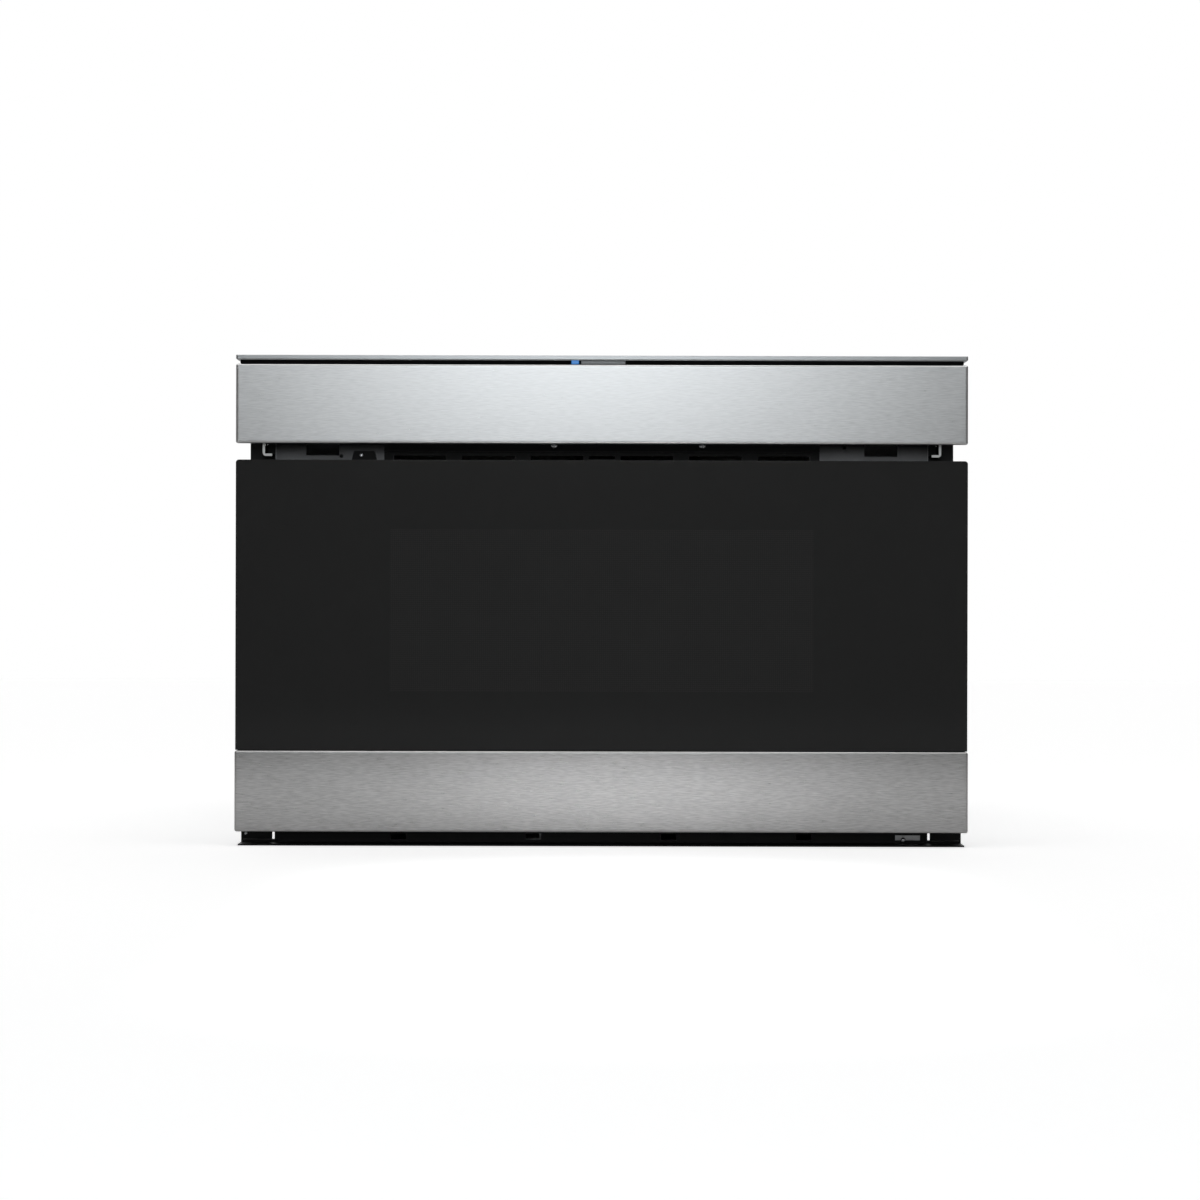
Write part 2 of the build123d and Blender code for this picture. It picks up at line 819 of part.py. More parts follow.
with BuildPart() as drawer_rack:
    with BuildSketch(Plane.YZ.offset(rack_x - rack_width / 2)):
        with BuildLine():
            Polyline(*rack_points, close=True)
        make_face()
    extrude(amount=rack_width)
    # the foot that is screwed to the drawer front
    foot_z0 = rack_tip_z - rack_foot_drop
    foot_x0, foot_x1 = rack_x - rack_width, rack_x + rack_width
    prism(foot_x0, foot_x1, rack_front, rack_front + rack_foot_sheet, foot_z0, rack_top_z)
keep(drawer_rack, "drawer_rack")

base_radius = pinion_pitch_radius * cos(alpha)
pinion_tip_radius = pinion_pitch_radius + pinion_addendum_share * gear_module
pinion_root_radius = pinion_pitch_radius - pinion_dedendum_share * gear_module


def involute_half_angle(radius):
    """Half of a tooth's angle at a radius: its half angle on the pitch circle less the involute's turn."""
    at_pitch = (tooth_pitch / 4 - tooth_backlash / 4) / pinion_pitch_radius
    turn = tan(alpha) - alpha
    local = acos(min(1.0, base_radius / radius))
    return at_pitch + turn - (tan(local) - local)


def tooth_flank(steps):
    """Radius and half angle along one flank, from the root to the tip."""
    start = max(base_radius, pinion_root_radius)
    radii = [start + (pinion_tip_radius - start) * n / steps for n in range(steps + 1)]
    flank = [(r, involute_half_angle(r)) for r in radii]
    return [(pinion_root_radius, flank[0][1])] + flank


pinion_points = []
for tooth in range(pinion_teeth):
    middle = pi / 2 + 2 * pi * tooth / pinion_teeth
    flank = tooth_flank(flank_steps)
    rising = [(r, middle - a) for r, a in flank]
    falling = [(r, middle + a) for r, a in reversed(flank)]
    pinion_points += [(pinion_y + r * cos(t), pinion_z + r * sin(t)) for r, t in rising + falling]

shaft_x0 = rack_x - rack_width / 2 - cheek_gap - cheek_sheet
cheek_left = shaft_x0 + cheek_sheet
cheek_right = rack_x + rack_width / 2 + cheek_gap
gearbox_x0 = cheek_right + cheek_sheet
with BuildPart() as drive_pinion:
    with BuildSketch(Plane.YZ.offset(rack_x - pinion_width / 2)):
        with BuildLine():
            Polyline(*pinion_points, close=True)
        make_face()
    extrude(amount=pinion_width)
    with BuildSketch(Plane.YZ.offset(shaft_x0)):
        with Locations((pinion_y, pinion_z)):
            Circle(shaft_radius)
    extrude(amount=gearbox_x0 + gearbox_width / 2 - shaft_x0)
keep(drive_pinion, "drive_pinion")

# a folded bracket carries the pinion between two cheeks, and a nylon guide holds the rack down on it
cheek_top = rack_pitch_z + rack_dedendum_share * gear_module + rack_body / 2
drive_y0 = pinion_y - drive_length / 2
with BuildPart() as drive_bracket:
    with BuildSketch(facing(drive_y0)):
        slab(shaft_x0, gearbox_x0, case_sheet, cheek_top)
        slab(cheek_left, cheek_right, case_sheet + cheek_sheet, cheek_top, mode=Mode.SUBTRACT)
        # foot screwed to the base pan
        slab(shaft_x0 - drive_foot, shaft_x0, case_sheet, case_sheet + cheek_sheet)
    extrude(amount=-drive_length)
    with BuildSketch(Plane.YZ.offset(shaft_x0)):
        with Locations((pinion_y, pinion_z)):
            Circle(shaft_radius + shaft_gap)
    extrude(amount=gearbox_x0 - shaft_x0, mode=Mode.SUBTRACT)
keep(drive_bracket, "drive_bracket")

guide_half_width = rack_width / 2 + guide_gap
with BuildPart() as rack_guide:
    with BuildSketch(facing(drive_y0 + guide_inset)):
        slab(shaft_x0, gearbox_x0, cheek_top, rack_top_z + guide_gap + guide_thickness)
        guide_z1 = rack_top_z + guide_gap
        slab(rack_x - guide_half_width, rack_x + guide_half_width, cheek_top, guide_z1, mode=Mode.SUBTRACT)
    extrude(amount=-(drive_length - 2 * guide_inset))
keep(rack_guide, "rack_guide")

motor_y = pinion_y + motor_setback
motor_z = case_sheet + motor_radius + 1
motor_x0 = gearbox_x0 + gearbox_width
with BuildPart() as drawer_gearmotor:
    with BuildSketch(Plane.YZ.offset(gearbox_x0)):
        box_y0, box_y1 = pinion_y - gearbox_ahead, pinion_y + gearbox_behind
        slab(box_y0, box_y1, case_sheet, pinion_z + gearbox_above)
    extrude(amount=gearbox_width)
    chamfer(drawer_gearmotor.edges().filter_by(Axis.X), gearbox_corner)
    with BuildSketch(Plane.YZ.offset(gearbox_x0)):
        with Locations((pinion_y, pinion_z)):
            Circle(shaft_radius + shaft_gap)
    extrude(amount=gearbox_width / 2 + 1, mode=Mode.SUBTRACT)
    # the motor's can, lying along X
    with BuildSketch(Plane.YZ.offset(motor_x0)):
        with Locations((motor_y, motor_z)):
            RegularPolygon(motor_radius, 2 * round_sides)
    extrude(amount=motor_length)
keep(drawer_gearmotor, "drawer_gearmotor")

# ---------------------------------------------------------------- latches

striker_z0 = striker_z - striker_height / 2
striker_z1 = striker_z + striker_height / 2
hook_y = panel_back + striker_reach
with BuildPart() as latch_strikers:
    with BuildSketch(Plane.YZ.offset(striker_x - striker_sheet / 2)):
        with BuildLine():
            Polyline(
                (panel_back, striker_z0),
                (hook_y - striker_nose / 2, striker_z0),
                (hook_y, striker_z0 + striker_nose),
                (hook_y, striker_z1),
                (hook_y - striker_nose, striker_z1),
                (hook_y - striker_nose, striker_z1 - striker_throat),
                (panel_back + striker_nose, striker_z1 - striker_throat),
                (panel_back + striker_nose, striker_z1),
                (panel_back, striker_z1),
                close=True,
            )
        make_face()
    extrude(amount=striker_sheet)
    # riveting foot on the drawer's inner panel
    rivet_x = striker_x + striker_sheet / 2
    rivet_y = panel_back + striker_sheet / 2
    prism(rivet_x, rivet_x + striker_foot, panel_back, rivet_y, striker_z0, striker_z1)
    mirror(about=Plane.YZ)
keep(latch_strikers, "latch_strikers")

switch_x0 = striker_x - striker_sheet / 2 - striker_gap
switch_x1 = striker_x + striker_sheet / 2 + striker_gap
with BuildPart() as interlock_switches:
    holder_x0, holder_x1 = switch_x0 - switch_wall, switch_x1 + switch_wall
    holder_z0, holder_z1 = striker_z - switch_height / 2, striker_z + switch_height / 2
    prism(holder_x0, holder_x1, plate_back, plate_back + switch_length, holder_z0, holder_z1)
    slot_y1 = hook_y + striker_gap
    slot_z0, slot_z1 = striker_z0 - striker_gap, striker_z1 + striker_gap
    prism(switch_x0, switch_x1, plate_back, slot_y1, slot_z0, slot_z1, mode=Mode.SUBTRACT)
    # a baffle at the holder's rear end stands behind the front plate's air hole
    baffle_x0 = vent_hole_x - vent_hole_width / 2 - baffle_lap
    baffle_y0, baffle_y1 = plate_back + switch_length - baffle_sheet, plate_back + switch_length
    baffle_z1 = vent_z0 + vent_hole_height + baffle_lap
    prism(baffle_x0, holder_x1, baffle_y0, baffle_y1, holder_z1 - switch_wall, baffle_z1)
    # two microswitches on the outer side of each holder, one above the other
    with Locations((holder_x1 + micro_width / 2, plate_back + switch_length / 2, striker_z)):
        with GridLocations(1, switch_length - micro_length, 1, 2):
            Box(micro_width, micro_length, micro_height)
    mirror(about=Plane.YZ)
keep(interlock_switches, "interlock_switches")

# ---------------------------------------------------------------- the chassis

pan_y0 = plate_back + case_sheet
with BuildPart() as base_pan:
    with BuildSketch(Plane.XY):
        slab(-side_inner, side_inner, pan_y0, case_back)
    extrude(amount=pan_height)
    offset(
        amount=-case_sheet,
        openings=[
            base_pan.faces().sort_by(Axis.Z)[-1],
            base_pan.faces().sort_by(Axis.Y)[0],
            base_pan.faces().sort_by(Axis.Y)[-1],
        ],
    )
    # a tab turned up behind the bottom trim's window
    tab_x1 = tab_window_x0 + tab_window_width
    prism(tab_window_x0, tab_x1, pan_y0, pan_y0 + case_sheet, 0, levelling_tab_height)
    # pressed beads stiffen the floor of the pan
    bead_half = side_inner - bead_margin
    for bead_y in (pinion_y + 2 * bead_margin, cavity_back - bead_margin):
        bead(-bead_half, bead_half, bead_y, bead_y + bead_width, 0)
    # air intake slots under the fan's side
    with BuildSketch(Plane.XY):
        with Locations((fan_x, cavity_back - 2 * bead_margin)):
            with GridLocations(vent_slot_pitch, 1, intake_slots, 1):
                Rectangle(vent_slot_width, vent_slot_length)
    extrude(amount=case_sheet, mode=Mode.SUBTRACT)
keep(base_pan, "base_pan")

notch_low = rail_centre_z - rail_height / 2 - rail_notch_gap
notch_high = rail_centre_z + rail_height / 2 + rail_notch_gap
notch_x = rail_mouth_x - rail_notch_gap
for side, sign in sides:
    with BuildPart() as side_panel:
        with BuildSketch(Plane.YZ.offset(sign * case_half)):
            slab(plate_back, case_back, 0, case_top - case_sheet)
        extrude(amount=-sign * case_flange)
        inner_face = side_panel.faces().sort_by(Axis.X)[0 if sign > 0 else -1]
        offset(
            amount=-case_sheet,
            openings=[
                inner_face,
                side_panel.faces().sort_by(Axis.Z)[0],
                side_panel.faces().sort_by(Axis.Y)[-1],
            ],
        )
        # the front flange is notched where the rails run out
        prism(
            sign * (case_half - case_flange),
            sign * side_inner,
            plate_back,
            plate_back + case_sheet,
            notch_low,
            notch_high,
            mode=Mode.SUBTRACT,
        )
        # cooling slots at the rear of the side
        with BuildSketch(Plane.YZ.offset(sign * case_half)):
            with Locations((cavity_back + side_slot_setback, cavity_ceiling - side_slot_drop)):
                with GridLocations(vent_slot_pitch, 1, side_slots, 1):
                    Rectangle(vent_slot_width, vent_slot_length)
        extrude(amount=-sign * case_sheet, mode=Mode.SUBTRACT)
    keep(side_panel, f"side_panel_{side}")

with BuildPart() as top_cover:
    with BuildSketch(Plane.XY.offset(case_top - cover_lip)):
        slab(-case_half - case_sheet, case_half + case_sheet, plate_back, case_back)
    extrude(amount=cover_lip)
    offset(
        amount=-case_sheet,
        openings=[
            top_cover.faces().sort_by(Axis.Z)[0],
            top_cover.faces().sort_by(Axis.Y)[0],
            top_cover.faces().sort_by(Axis.Y)[-1],
        ],
    )
    # pressed beads that run front to back
    for bead_x in (-cover_bead_pitch, 0, cover_bead_pitch):
        bead_x0, bead_x1 = bead_x - bead_width / 2, bead_x + bead_width / 2
        bead(bead_x0, bead_x1, plate_back + bead_margin, cavity_back - bead_margin, case_top - case_sheet)
keep(top_cover, "top_cover")

rear_half = side_inner - case_sheet
gland_z = case_top - gland_drop
with BuildPart() as rear_panel:
    with BuildSketch(facing(rear_inner - rear_lip)):
        slab(-rear_half, rear_half, case_sheet, case_top - 2 * case_sheet)
    extrude(amount=-(case_sheet + rear_lip))
    offset(amount=-case_sheet, openings=rear_panel.faces().sort_by(Axis.Y)[0])
    # finger guard in front of the fan: rings of slots
    with BuildSketch(facing(rear_inner)):
        with Locations((fan_x, fan_z)):
            for ring in range(guard_rings):
                ring_radius = guard_first_radius + ring * guard_ring_pitch
                with PolarLocations(ring_radius, guard_first_count + ring * guard_count_step):
                    Rectangle(guard_slot_width, guard_slot_length)
        # outlet slots beside the magnetron
        with Locations((outlet_x, outlet_z)):
            with GridLocations(1, vent_slot_pitch, 1, outlet_rows):
                Rectangle(2 * vent_slot_length, vent_slot_width)
        with Locations((gland_x, gland_z)):
            RegularPolygon(gland_radius, 2 * round_sides)
    extrude(amount=-case_sheet, mode=Mode.SUBTRACT)
keep(rear_panel, "rear_panel")

with BuildPart() as cord_gland:
    with BuildSketch(facing(rear_inner)):
        with Locations((gland_x, gland_z)):
            RegularPolygon(gland_radius, 2 * round_sides)
    extrude(amount=-case_sheet)
    with BuildSketch(facing(rear_inner - gland_nut)):
        with Locations((gland_x, gland_z)):
            RegularPolygon(gland_radius + gland_rim, 6)
    extrude(amount=-gland_nut)
    with BuildSketch(facing(case_back)):
        with Locations((gland_x, gland_z)):
            RegularPolygon(gland_radius + gland_rim, 2 * round_sides)
            RegularPolygon(gland_bore, round_sides, mode=Mode.SUBTRACT)
    extrude(amount=-rear_stand_off)
keep(cord_gland, "cord_gland")

with BuildPart() as oven_cavity:
    with BuildSketch(facing(plate_back)):
        slab(
            -cavity_half - cavity_sheet,
            cavity_half + cavity_sheet,
            floor_bay,
            cavity_top,
            radius=cavity_corner + cavity_sheet,
        )
    extrude(amount=-(cavity_depth + cavity_sheet))
    with BuildSketch(facing(plate_back)):
        slab(
            -cavity_half - cavity_sheet - cavity_flange,
            cavity_half + cavity_sheet + cavity_flange,
            floor_bay - cavity_flange,
            cavity_top + cavity_flange,
        )
    extrude(amount=-cavity_sheet)
    with BuildSketch(facing(plate_back)):
        slab(-cavity_half, cavity_half, cavity_floor, cavity_ceiling, radius=cavity_corner)
    extrude(amount=-cavity_depth, mode=Mode.SUBTRACT)
    # the wave feed in the ceiling
    with BuildSketch(Plane.XY.offset(cavity_ceiling)):
        with Locations((0, stirrer_y)):
            RegularPolygon(feed_radius, 2 * round_sides)
    extrude(amount=cavity_sheet, mode=Mode.SUBTRACT)
    # lamp and steam slots in the right wall
    with BuildSketch(Plane.YZ.offset(cavity_half)):
        with Locations((lamp_y, lamp_z)):
            with GridLocations(lamp_slot_pitch, 1, lamp_slots, 1):
                Rectangle(lamp_slot_width, lamp_slot_length)
    extrude(amount=cavity_sheet, mode=Mode.SUBTRACT)
keep(oven_cavity, "oven_cavity")

grille_slot_z0 = glass_z1 + grille_sill
with BuildPart() as front_plate:
    with BuildSketch(facing(plate_y)):
        slab(-plate_half, plate_half, side_flange_bottom, plate_top)
        slab(-cavity_half, cavity_half, cavity_floor, cavity_ceiling, cavity_corner, mode=Mode.SUBTRACT)
        for side, sign in sides:
            slab(sign * notch_x, sign * plate_half, notch_low, notch_high, mode=Mode.SUBTRACT)
            slot_x0, slot_x1 = sign * switch_x0, sign * switch_x1
            slab(slot_x0, slot_x1, slot_z0, slot_z1, mode=Mode.SUBTRACT)
            # air hole beside the grille
            with Locations((sign * vent_hole_x, vent_z0 + vent_hole_height / 2)):
                Rectangle(vent_hole_width, vent_hole_height, mode=Mode.SUBTRACT)
        # two pilot holes in the strip over the drawer
        pilot_left = (-grille_half - pilot_left_beyond, glass_z1 + pilot_left_rise)
        pilot_right = (grille_half + pilot_right_beyond, glass_z1 + pilot_right_rise)
        with Locations(pilot_left, pilot_right):
            RegularPolygon(pilot_radius, round_sides, mode=Mode.SUBTRACT)
        # the rack's way out
        slot_half = rack_width / 2 + rack_slot_gap
        low, high = rack_tip_z - rack_slot_gap, rack_top_z + rack_slot_gap
        slab(rack_x - slot_half, rack_x + slot_half, low, high, mode=Mode.SUBTRACT)
        # the grille's air way
        way_half = grille_half - grille_lap
        slab(-way_half, way_half, grille_slot_z0, grille_slot_z0 + grille_slot_height, mode=Mode.SUBTRACT)
    extrude(amount=-plate_sheet)
keep(front_plate, "front_plate")

flange_x = case_half + side_flange_reach
for side, sign in sides:
    with BuildPart() as side_flange:
        with BuildSketch(facing(plate_y)):
            slab(sign * case_half, sign * flange_x, side_flange_bottom, plate_top)
            hole_x = sign * (flange_x - mount_hole_inset)
            with Locations((hole_x, mount_hole_low), (hole_x, mount_hole_high)):
                Circle(mount_hole_radius, mode=Mode.SUBTRACT)
            # slot for the flap bracket's tenon
            slot_x0, slot_x1 = sign * (bracket_x - seam), sign * (bracket_x + bracket_sheet + seam)
            slab(slot_x0, slot_x1, tenon_z0 - seam, tenon_z1 + seam, mode=Mode.SUBTRACT)
        extrude(amount=-plate_sheet)
        prism(
            sign * case_half,
            sign * (case_half + plate_sheet),
            plate_back,
            plate_back + side_flange_leg,
            side_flange_bottom,
            case_top - cover_lip - side_flange_drop,
        )
    keep(side_flange, f"side_flange_{side}")

# ---------------------------------------------------------------- trims and grille

with BuildPart() as bottom_trim:
    with BuildSketch(Plane.YZ.offset(-bottom_trim_half)) as trim_profile:
        with BuildLine():
            Polyline(
                (front_y + lip_setback, 0),
                (plate_y, 0),
                (plate_y, bottom_web_height),
                (plate_y - bottom_web, bottom_web_height),
                (plate_y - bottom_web, lip_sheet),
                (front_y + lip_setback, lip_sheet),
                close=True,
            )
        make_face()
        corner = trim_profile.vertices().sort_by_distance(Vector(0, plate_y - bottom_web, lip_sheet))[0]
        fillet(corner, bottom_fillet)
    extrude(amount=2 * bottom_trim_half)
    with BuildSketch(facing(plate_y - bottom_web)):
        with Locations((0, bottom_slot_sill + bottom_slot_height / 2)):
            with GridLocations(bottom_slot_pitch, 1, bottom_slots, 1):
                Rectangle(bottom_slot_width, bottom_slot_height)
        # a slit beside each side panel, and a window on the levelling tab
        for side, sign in sides:
            slab(sign * case_half, sign * (case_half + slit_width), slit_z0, slit_z1)
        tab_window_x1 = tab_window_x0 + tab_window_width
        slab(tab_window_x0, tab_window_x1, bottom_slot_sill, bottom_slot_sill + tab_window_height)
    extrude(amount=-bottom_web, mode=Mode.SUBTRACT)
keep(bottom_trim, "bottom_trim")

with BuildPart() as top_trim:
    with BuildSketch(Plane.XY.offset(trim_z0)):
        slab(-top_trim_half, top_trim_half, front_y + top_trim_setback, plate_back)
    extrude(amount=top_trim_height)
    fillet(top_trim.edges().filter_by(Axis.Z).group_by(Axis.Y)[0], top_trim_corner)
    offset(amount=-top_trim_sheet, openings=top_trim.faces().sort_by(Axis.Z)[0])
    # both ends are undercut
    for side, sign in sides:
        with BuildSketch(facing(plate_back + 1)):
            with BuildLine():
                end = sign * top_trim_half
                Polyline(
                    (end + sign, trim_z0 - 1),
                    (end - sign * trim_end_chamfer - sign, trim_z0 - 1),
                    (end - sign * trim_end_chamfer, trim_z0),
                    (end, trim_z0 + trim_end_rise),
                    (end + sign, trim_z0 + trim_end_rise),
                    close=True,
                )
            make_face()
        extrude(amount=plate_back - front_y + 2, mode=Mode.SUBTRACT)
keep(top_trim, "top_trim")

ledge_y = front_y + ledge_setback
with BuildPart() as control_housing:
    # back wall, top ledge and two end cheeks, moulded in one piece
    with BuildSketch(facing(plate_y - housing_wall)):
        slab(-ledge_half, ledge_half, housing_z0, trim_z0)
    extrude(amount=-housing_wall)
    prism(-ledge_half, ledge_half, ledge_y, plate_y, ledge_z0, trim_z0)
    for side, sign in sides:
        with BuildSketch(Plane.YZ.offset(sign * ledge_half)):
            with BuildLine():
                Polyline(
                    (front_y + cheek_setback, trim_z0),
                    (front_y + cheek_setback, housing_z0 + cheek_rise),
                    (plate_y - cheek_foot, housing_z0),
                    (plate_y, housing_z0),
                    (plate_y, trim_z0),
                    close=True,
                )
            make_face()
        extrude(amount=-sign * housing_wall)
    # notches for the bar button, its stem and the status light
    for centre, half, depth in (
        (button_x, button_width / 2 + button_gap, button_depth + button_gap + button_travel),
        (button_x, button_stem / 2 + button_gap, button_depth + button_stem_length + button_travel),
        (light_x, light_width / 2, light_depth),
    ):
        prism(centre - half, centre + half, ledge_y, ledge_y + depth, ledge_z0, trim_z0, mode=Mode.SUBTRACT)
    # mouth of the harness hole in the back wall
    with BuildSketch(facing(plate_y - housing_wall)):
        with Locations((-ledge_half / 2, (housing_z0 + ledge_z0) / 2)):
            Rectangle(harness_slot_length, harness_slot_width)
    extrude(amount=-housing_wall, mode=Mode.SUBTRACT)
keep(control_housing, "control_housing")

bar_z0 = flap_z1 + button_gap
bar_z1 = trim_z0 - button_gap
bar_y1 = ledge_y + button_depth
with BuildPart() as open_button:
    bar_x0, bar_x1 = button_x - button_width / 2, button_x + button_width / 2
    prism(bar_x0, bar_x1, ledge_y - button_proud, bar_y1, bar_z0, bar_z1)
    chamfer(open_button.faces().sort_by(Axis.Y)[0].edges(), button_chamfer)
    stem_x0, stem_x1 = button_x - button_stem / 2, button_x + button_stem / 2
    prism(stem_x0, stem_x1, bar_y1, bar_y1 + button_stem_length - button_gap, ledge_z0, bar_z1)
keep(open_button, "open_button")

with BuildPart() as status_light:
    lens_x0, lens_x1 = light_x - light_width / 2, light_x + light_width / 2
    prism(lens_x0, lens_x1, ledge_y - light_proud, ledge_y + light_depth, ledge_z0, trim_z0)
    chamfer(status_light.faces().sort_by(Axis.Y)[0].edges(), light_chamfer)
keep(status_light, "status_light")

grille_z0 = glass_z1 + seam
grille_z1 = housing_z0 - seam
grille_y = plate_y - grille_depth
slot_row_z = grille_slot_z0 + grille_slot_height / 2
# as many slots and bosses as the length takes
slot_room = grille_half - grille_first_slot - grille_slot_width / 2
slot_xs = [grille_first_slot + n * grille_slot_pitch for n in range(int(slot_room / grille_slot_pitch) + 1)]
boss_count = 2 * int((grille_half - 2 * grille_rib) / grille_dot_pitch) + 1
slot_centres = [(sign * x, slot_row_z) for side, sign in sides for x in slot_xs]
with BuildPart() as air_grille:
    with BuildSketch(facing(plate_y - grille_wall)):
        slab(-grille_half, grille_half, grille_z0, grille_z1)
        with Locations(*slot_centres):
            Rectangle(grille_slot_width, grille_slot_height, mode=Mode.SUBTRACT)
        with Locations((0, glass_z1 + grille_middle_sill + grille_middle_height / 2)):
            Rectangle(grille_middle_width, grille_middle_height, mode=Mode.SUBTRACT)
    extrude(amount=-grille_wall)
    # a rib runs the whole length, with small bosses along it
    with BuildSketch(facing(grille_y)):
        rib_z = glass_z1 + grille_rib_rise
        slab(-grille_half, grille_half, rib_z, rib_z + grille_rib)
        slab(-grille_half, grille_half, grille_z1 - grille_rib, grille_z1)
    extrude(amount=-(grille_depth - grille_wall))
    with BuildSketch(facing(grille_y - grille_dot_proud)):
        with Locations((0, rib_z + grille_rib / 2)):
            with GridLocations(grille_dot_pitch, 1, boss_count, 1):
                RegularPolygon(grille_dot_radius, grille_dot_sides)
    extrude(amount=-(grille_depth - grille_wall + grille_dot_proud))
keep(air_grille, "air_grille")

sensor_x = -grille_half - sensor_beyond
sensor_z0 = glass_z1 + sensor_rise
with BuildPart() as position_sensor:
    with BuildSketch(facing(plate_y - sensor_depth)):
        with BuildLine():
            Polyline(
                (sensor_x - sensor_bottom_width / 2, sensor_z0),
                (sensor_x + sensor_bottom_width / 2, sensor_z0),
                (sensor_x + sensor_top_width / 2, sensor_z0 + sensor_height),
                (sensor_x - sensor_top_width / 2, sensor_z0 + sensor_height),
                close=True,
            )
        make_face()
    extrude(amount=-sensor_depth)
    chamfer(position_sensor.edges().filter_by(Axis.Y), sensor_corner)
keep(position_sensor, "position_sensor")

# ---------------------------------------------------------------- the flap

with BuildPart() as flap_face:
    with BuildSketch(facing(front_y)):
        slab(-flap_half, flap_half, flap_z0, flap_z1)
    extrude(amount=-flap_return)
    fillet(flap_face.faces().sort_by(Axis.Y)[0].edges(), flap_bend)
    offset(amount=-flap_sheet, openings=flap_face.faces().sort_by(Axis.Y)[-1])
keep(flap_face, "flap_face")

flap_frame_y = front_y + flap_sheet
flap_frame_back = flap_frame_y + flap_frame_depth
flap_frame_z0 = flap_z0 + flap_frame_bottom_gap
flap_frame_z1 = flap_z1 - flap_frame_top_gap
with BuildPart() as flap_frame:
    with BuildSketch(facing(flap_frame_y)):
        slab(-frame_flap_half, frame_flap_half, flap_frame_z0, flap_frame_z1)
    extrude(amount=-flap_frame_depth)
    offset(amount=-flap_frame_wall, openings=flap_frame.faces().sort_by(Axis.Y)[-1])
    # trunnions at both ends
    for side, sign in sides:
        with BuildSketch(Plane.YZ.offset(sign * (frame_flap_half - flap_frame_wall))):
            with Locations((pivot_y, pivot_z)):
                RegularPolygon(pivot_boss, round_sides)
        extrude(amount=sign * (flap_frame_wall + bracket_side_gap - pivot_end_float))
        with BuildSketch(Plane.YZ.offset(sign * frame_flap_half)):
            with Locations((pivot_y, pivot_z)):
                Circle(pivot_radius)
        drive = tilt_motor_width / 2 if side == "right" else pivot_end
        extrude(amount=sign * (bracket_side_gap + bracket_sheet + drive))
    # posts for the display board
    board_y = flap_frame_back - control_glass_thickness - board_clearance - board_thickness
    with Locations((0, (flap_frame_y + flap_frame_wall + board_y) / 2, (flap_frame_z0 + flap_frame_z1) / 2)):
        with GridLocations(2 * frame_flap_half / board_posts, 1, board_posts, 1):
            Box(board_post, board_y - flap_frame_y - flap_frame_wall, board_post_height)
keep(flap_frame, "flap_frame")

with BuildPart() as display_board:
    board_half = frame_flap_half - flap_frame_wall - board_margin
    board_z0 = flap_frame_z0 + flap_frame_wall + board_margin
    board_z1 = flap_frame_z1 - flap_frame_wall - board_margin
    chips_y = board_y + board_thickness
    middle_z = (board_z0 + board_z1) / 2
    prism(-board_half, board_half, board_y, chips_y, board_z0, board_z1)
    # display module in the middle, with a driver chip on each side
    with Locations((0, chips_y + display_depth / 2, middle_z)):
        Box(display_width, display_depth, display_height)
    with Locations((0, chips_y + chip_depth / 2, middle_z)):
        with GridLocations(2 * chip_x, 1, 2, 1):
            Box(chip_side, chip_depth, chip_side)
keep(display_board, "display_board")

with BuildPart() as control_glass:
    with BuildSketch(facing(flap_frame_back - control_glass_thickness)):
        slab(
            -frame_flap_half + flap_frame_wall,
            frame_flap_half - flap_frame_wall,
            flap_frame_z0 + flap_frame_wall,
            flap_frame_z1 - flap_frame_wall,
        )
    extrude(amount=-control_glass_thickness)
    chamfer(control_glass.faces().sort_by(Axis.Y)[-1].edges(), control_glass_bevel)
keep(control_glass, "control_glass")

# brackets that carry the flap, each with a foot turned in over the drawer
bracket_back = plate_y - housing_wall
for side, sign in sides:
    inner, outer = sign * bracket_x, sign * (bracket_x + bracket_sheet)
    with BuildPart() as flap_bracket:
        with BuildSketch(Plane.YZ.offset(inner)):
            slab(front_y + bracket_leg_setback, plate_y, bracket_z0, bracket_step_z)
            slab(front_y + bracket_leg_setback, bracket_back, bracket_z0, pivot_z + bracket_rise)
            slab(pivot_y, bracket_back, pivot_z - bracket_lobe, pivot_z + bracket_lobe)
            with Locations((pivot_y, pivot_z)):
                RegularPolygon(bracket_lobe, round_sides)
                Circle(pivot_radius + pivot_gap, mode=Mode.SUBTRACT)
        extrude(amount=sign * bracket_sheet)
        foot_x = sign * (bracket_x + bracket_sheet - bracket_foot)
        foot_y = front_y + bracket_leg_setback
        prism(foot_x, inner, foot_y, plate_y, bracket_z0, bracket_z0 + bracket_sheet)
        # a tenon passes through the black side flange
        prism(inner, outer, plate_y, plate_back + bracket_tenon_reach, tenon_z0, tenon_z1)
        lowest = flap_bracket.edges().filter_by(Axis.Y).group_by(Axis.Z)[0]
        fillet(lowest.sort_by(Axis.X)[-1 if sign > 0 else 0], bracket_bend)
    keep(flap_bracket, f"flap_bracket_{side}")

# the motor that tilts the flap hangs on the right bracket, square on its pivot
tilt_y0 = pivot_y - pivot_boss
tilt_z0 = pivot_z - pivot_boss
with BuildPart() as flap_gearmotor:
    with BuildSketch(Plane.YZ.offset(bracket_x + bracket_sheet)):
        slab(tilt_y0, tilt_y0 + tilt_motor_depth, tilt_z0, tilt_z0 + tilt_motor_height)
        with Locations((pivot_y, pivot_z)):
            Circle(pivot_radius + pivot_gap, mode=Mode.SUBTRACT)
    extrude(amount=tilt_motor_width)
keep(flap_gearmotor, "flap_gearmotor")

# ---------------------------------------------------------------- wave guide, stirrer and magnetron

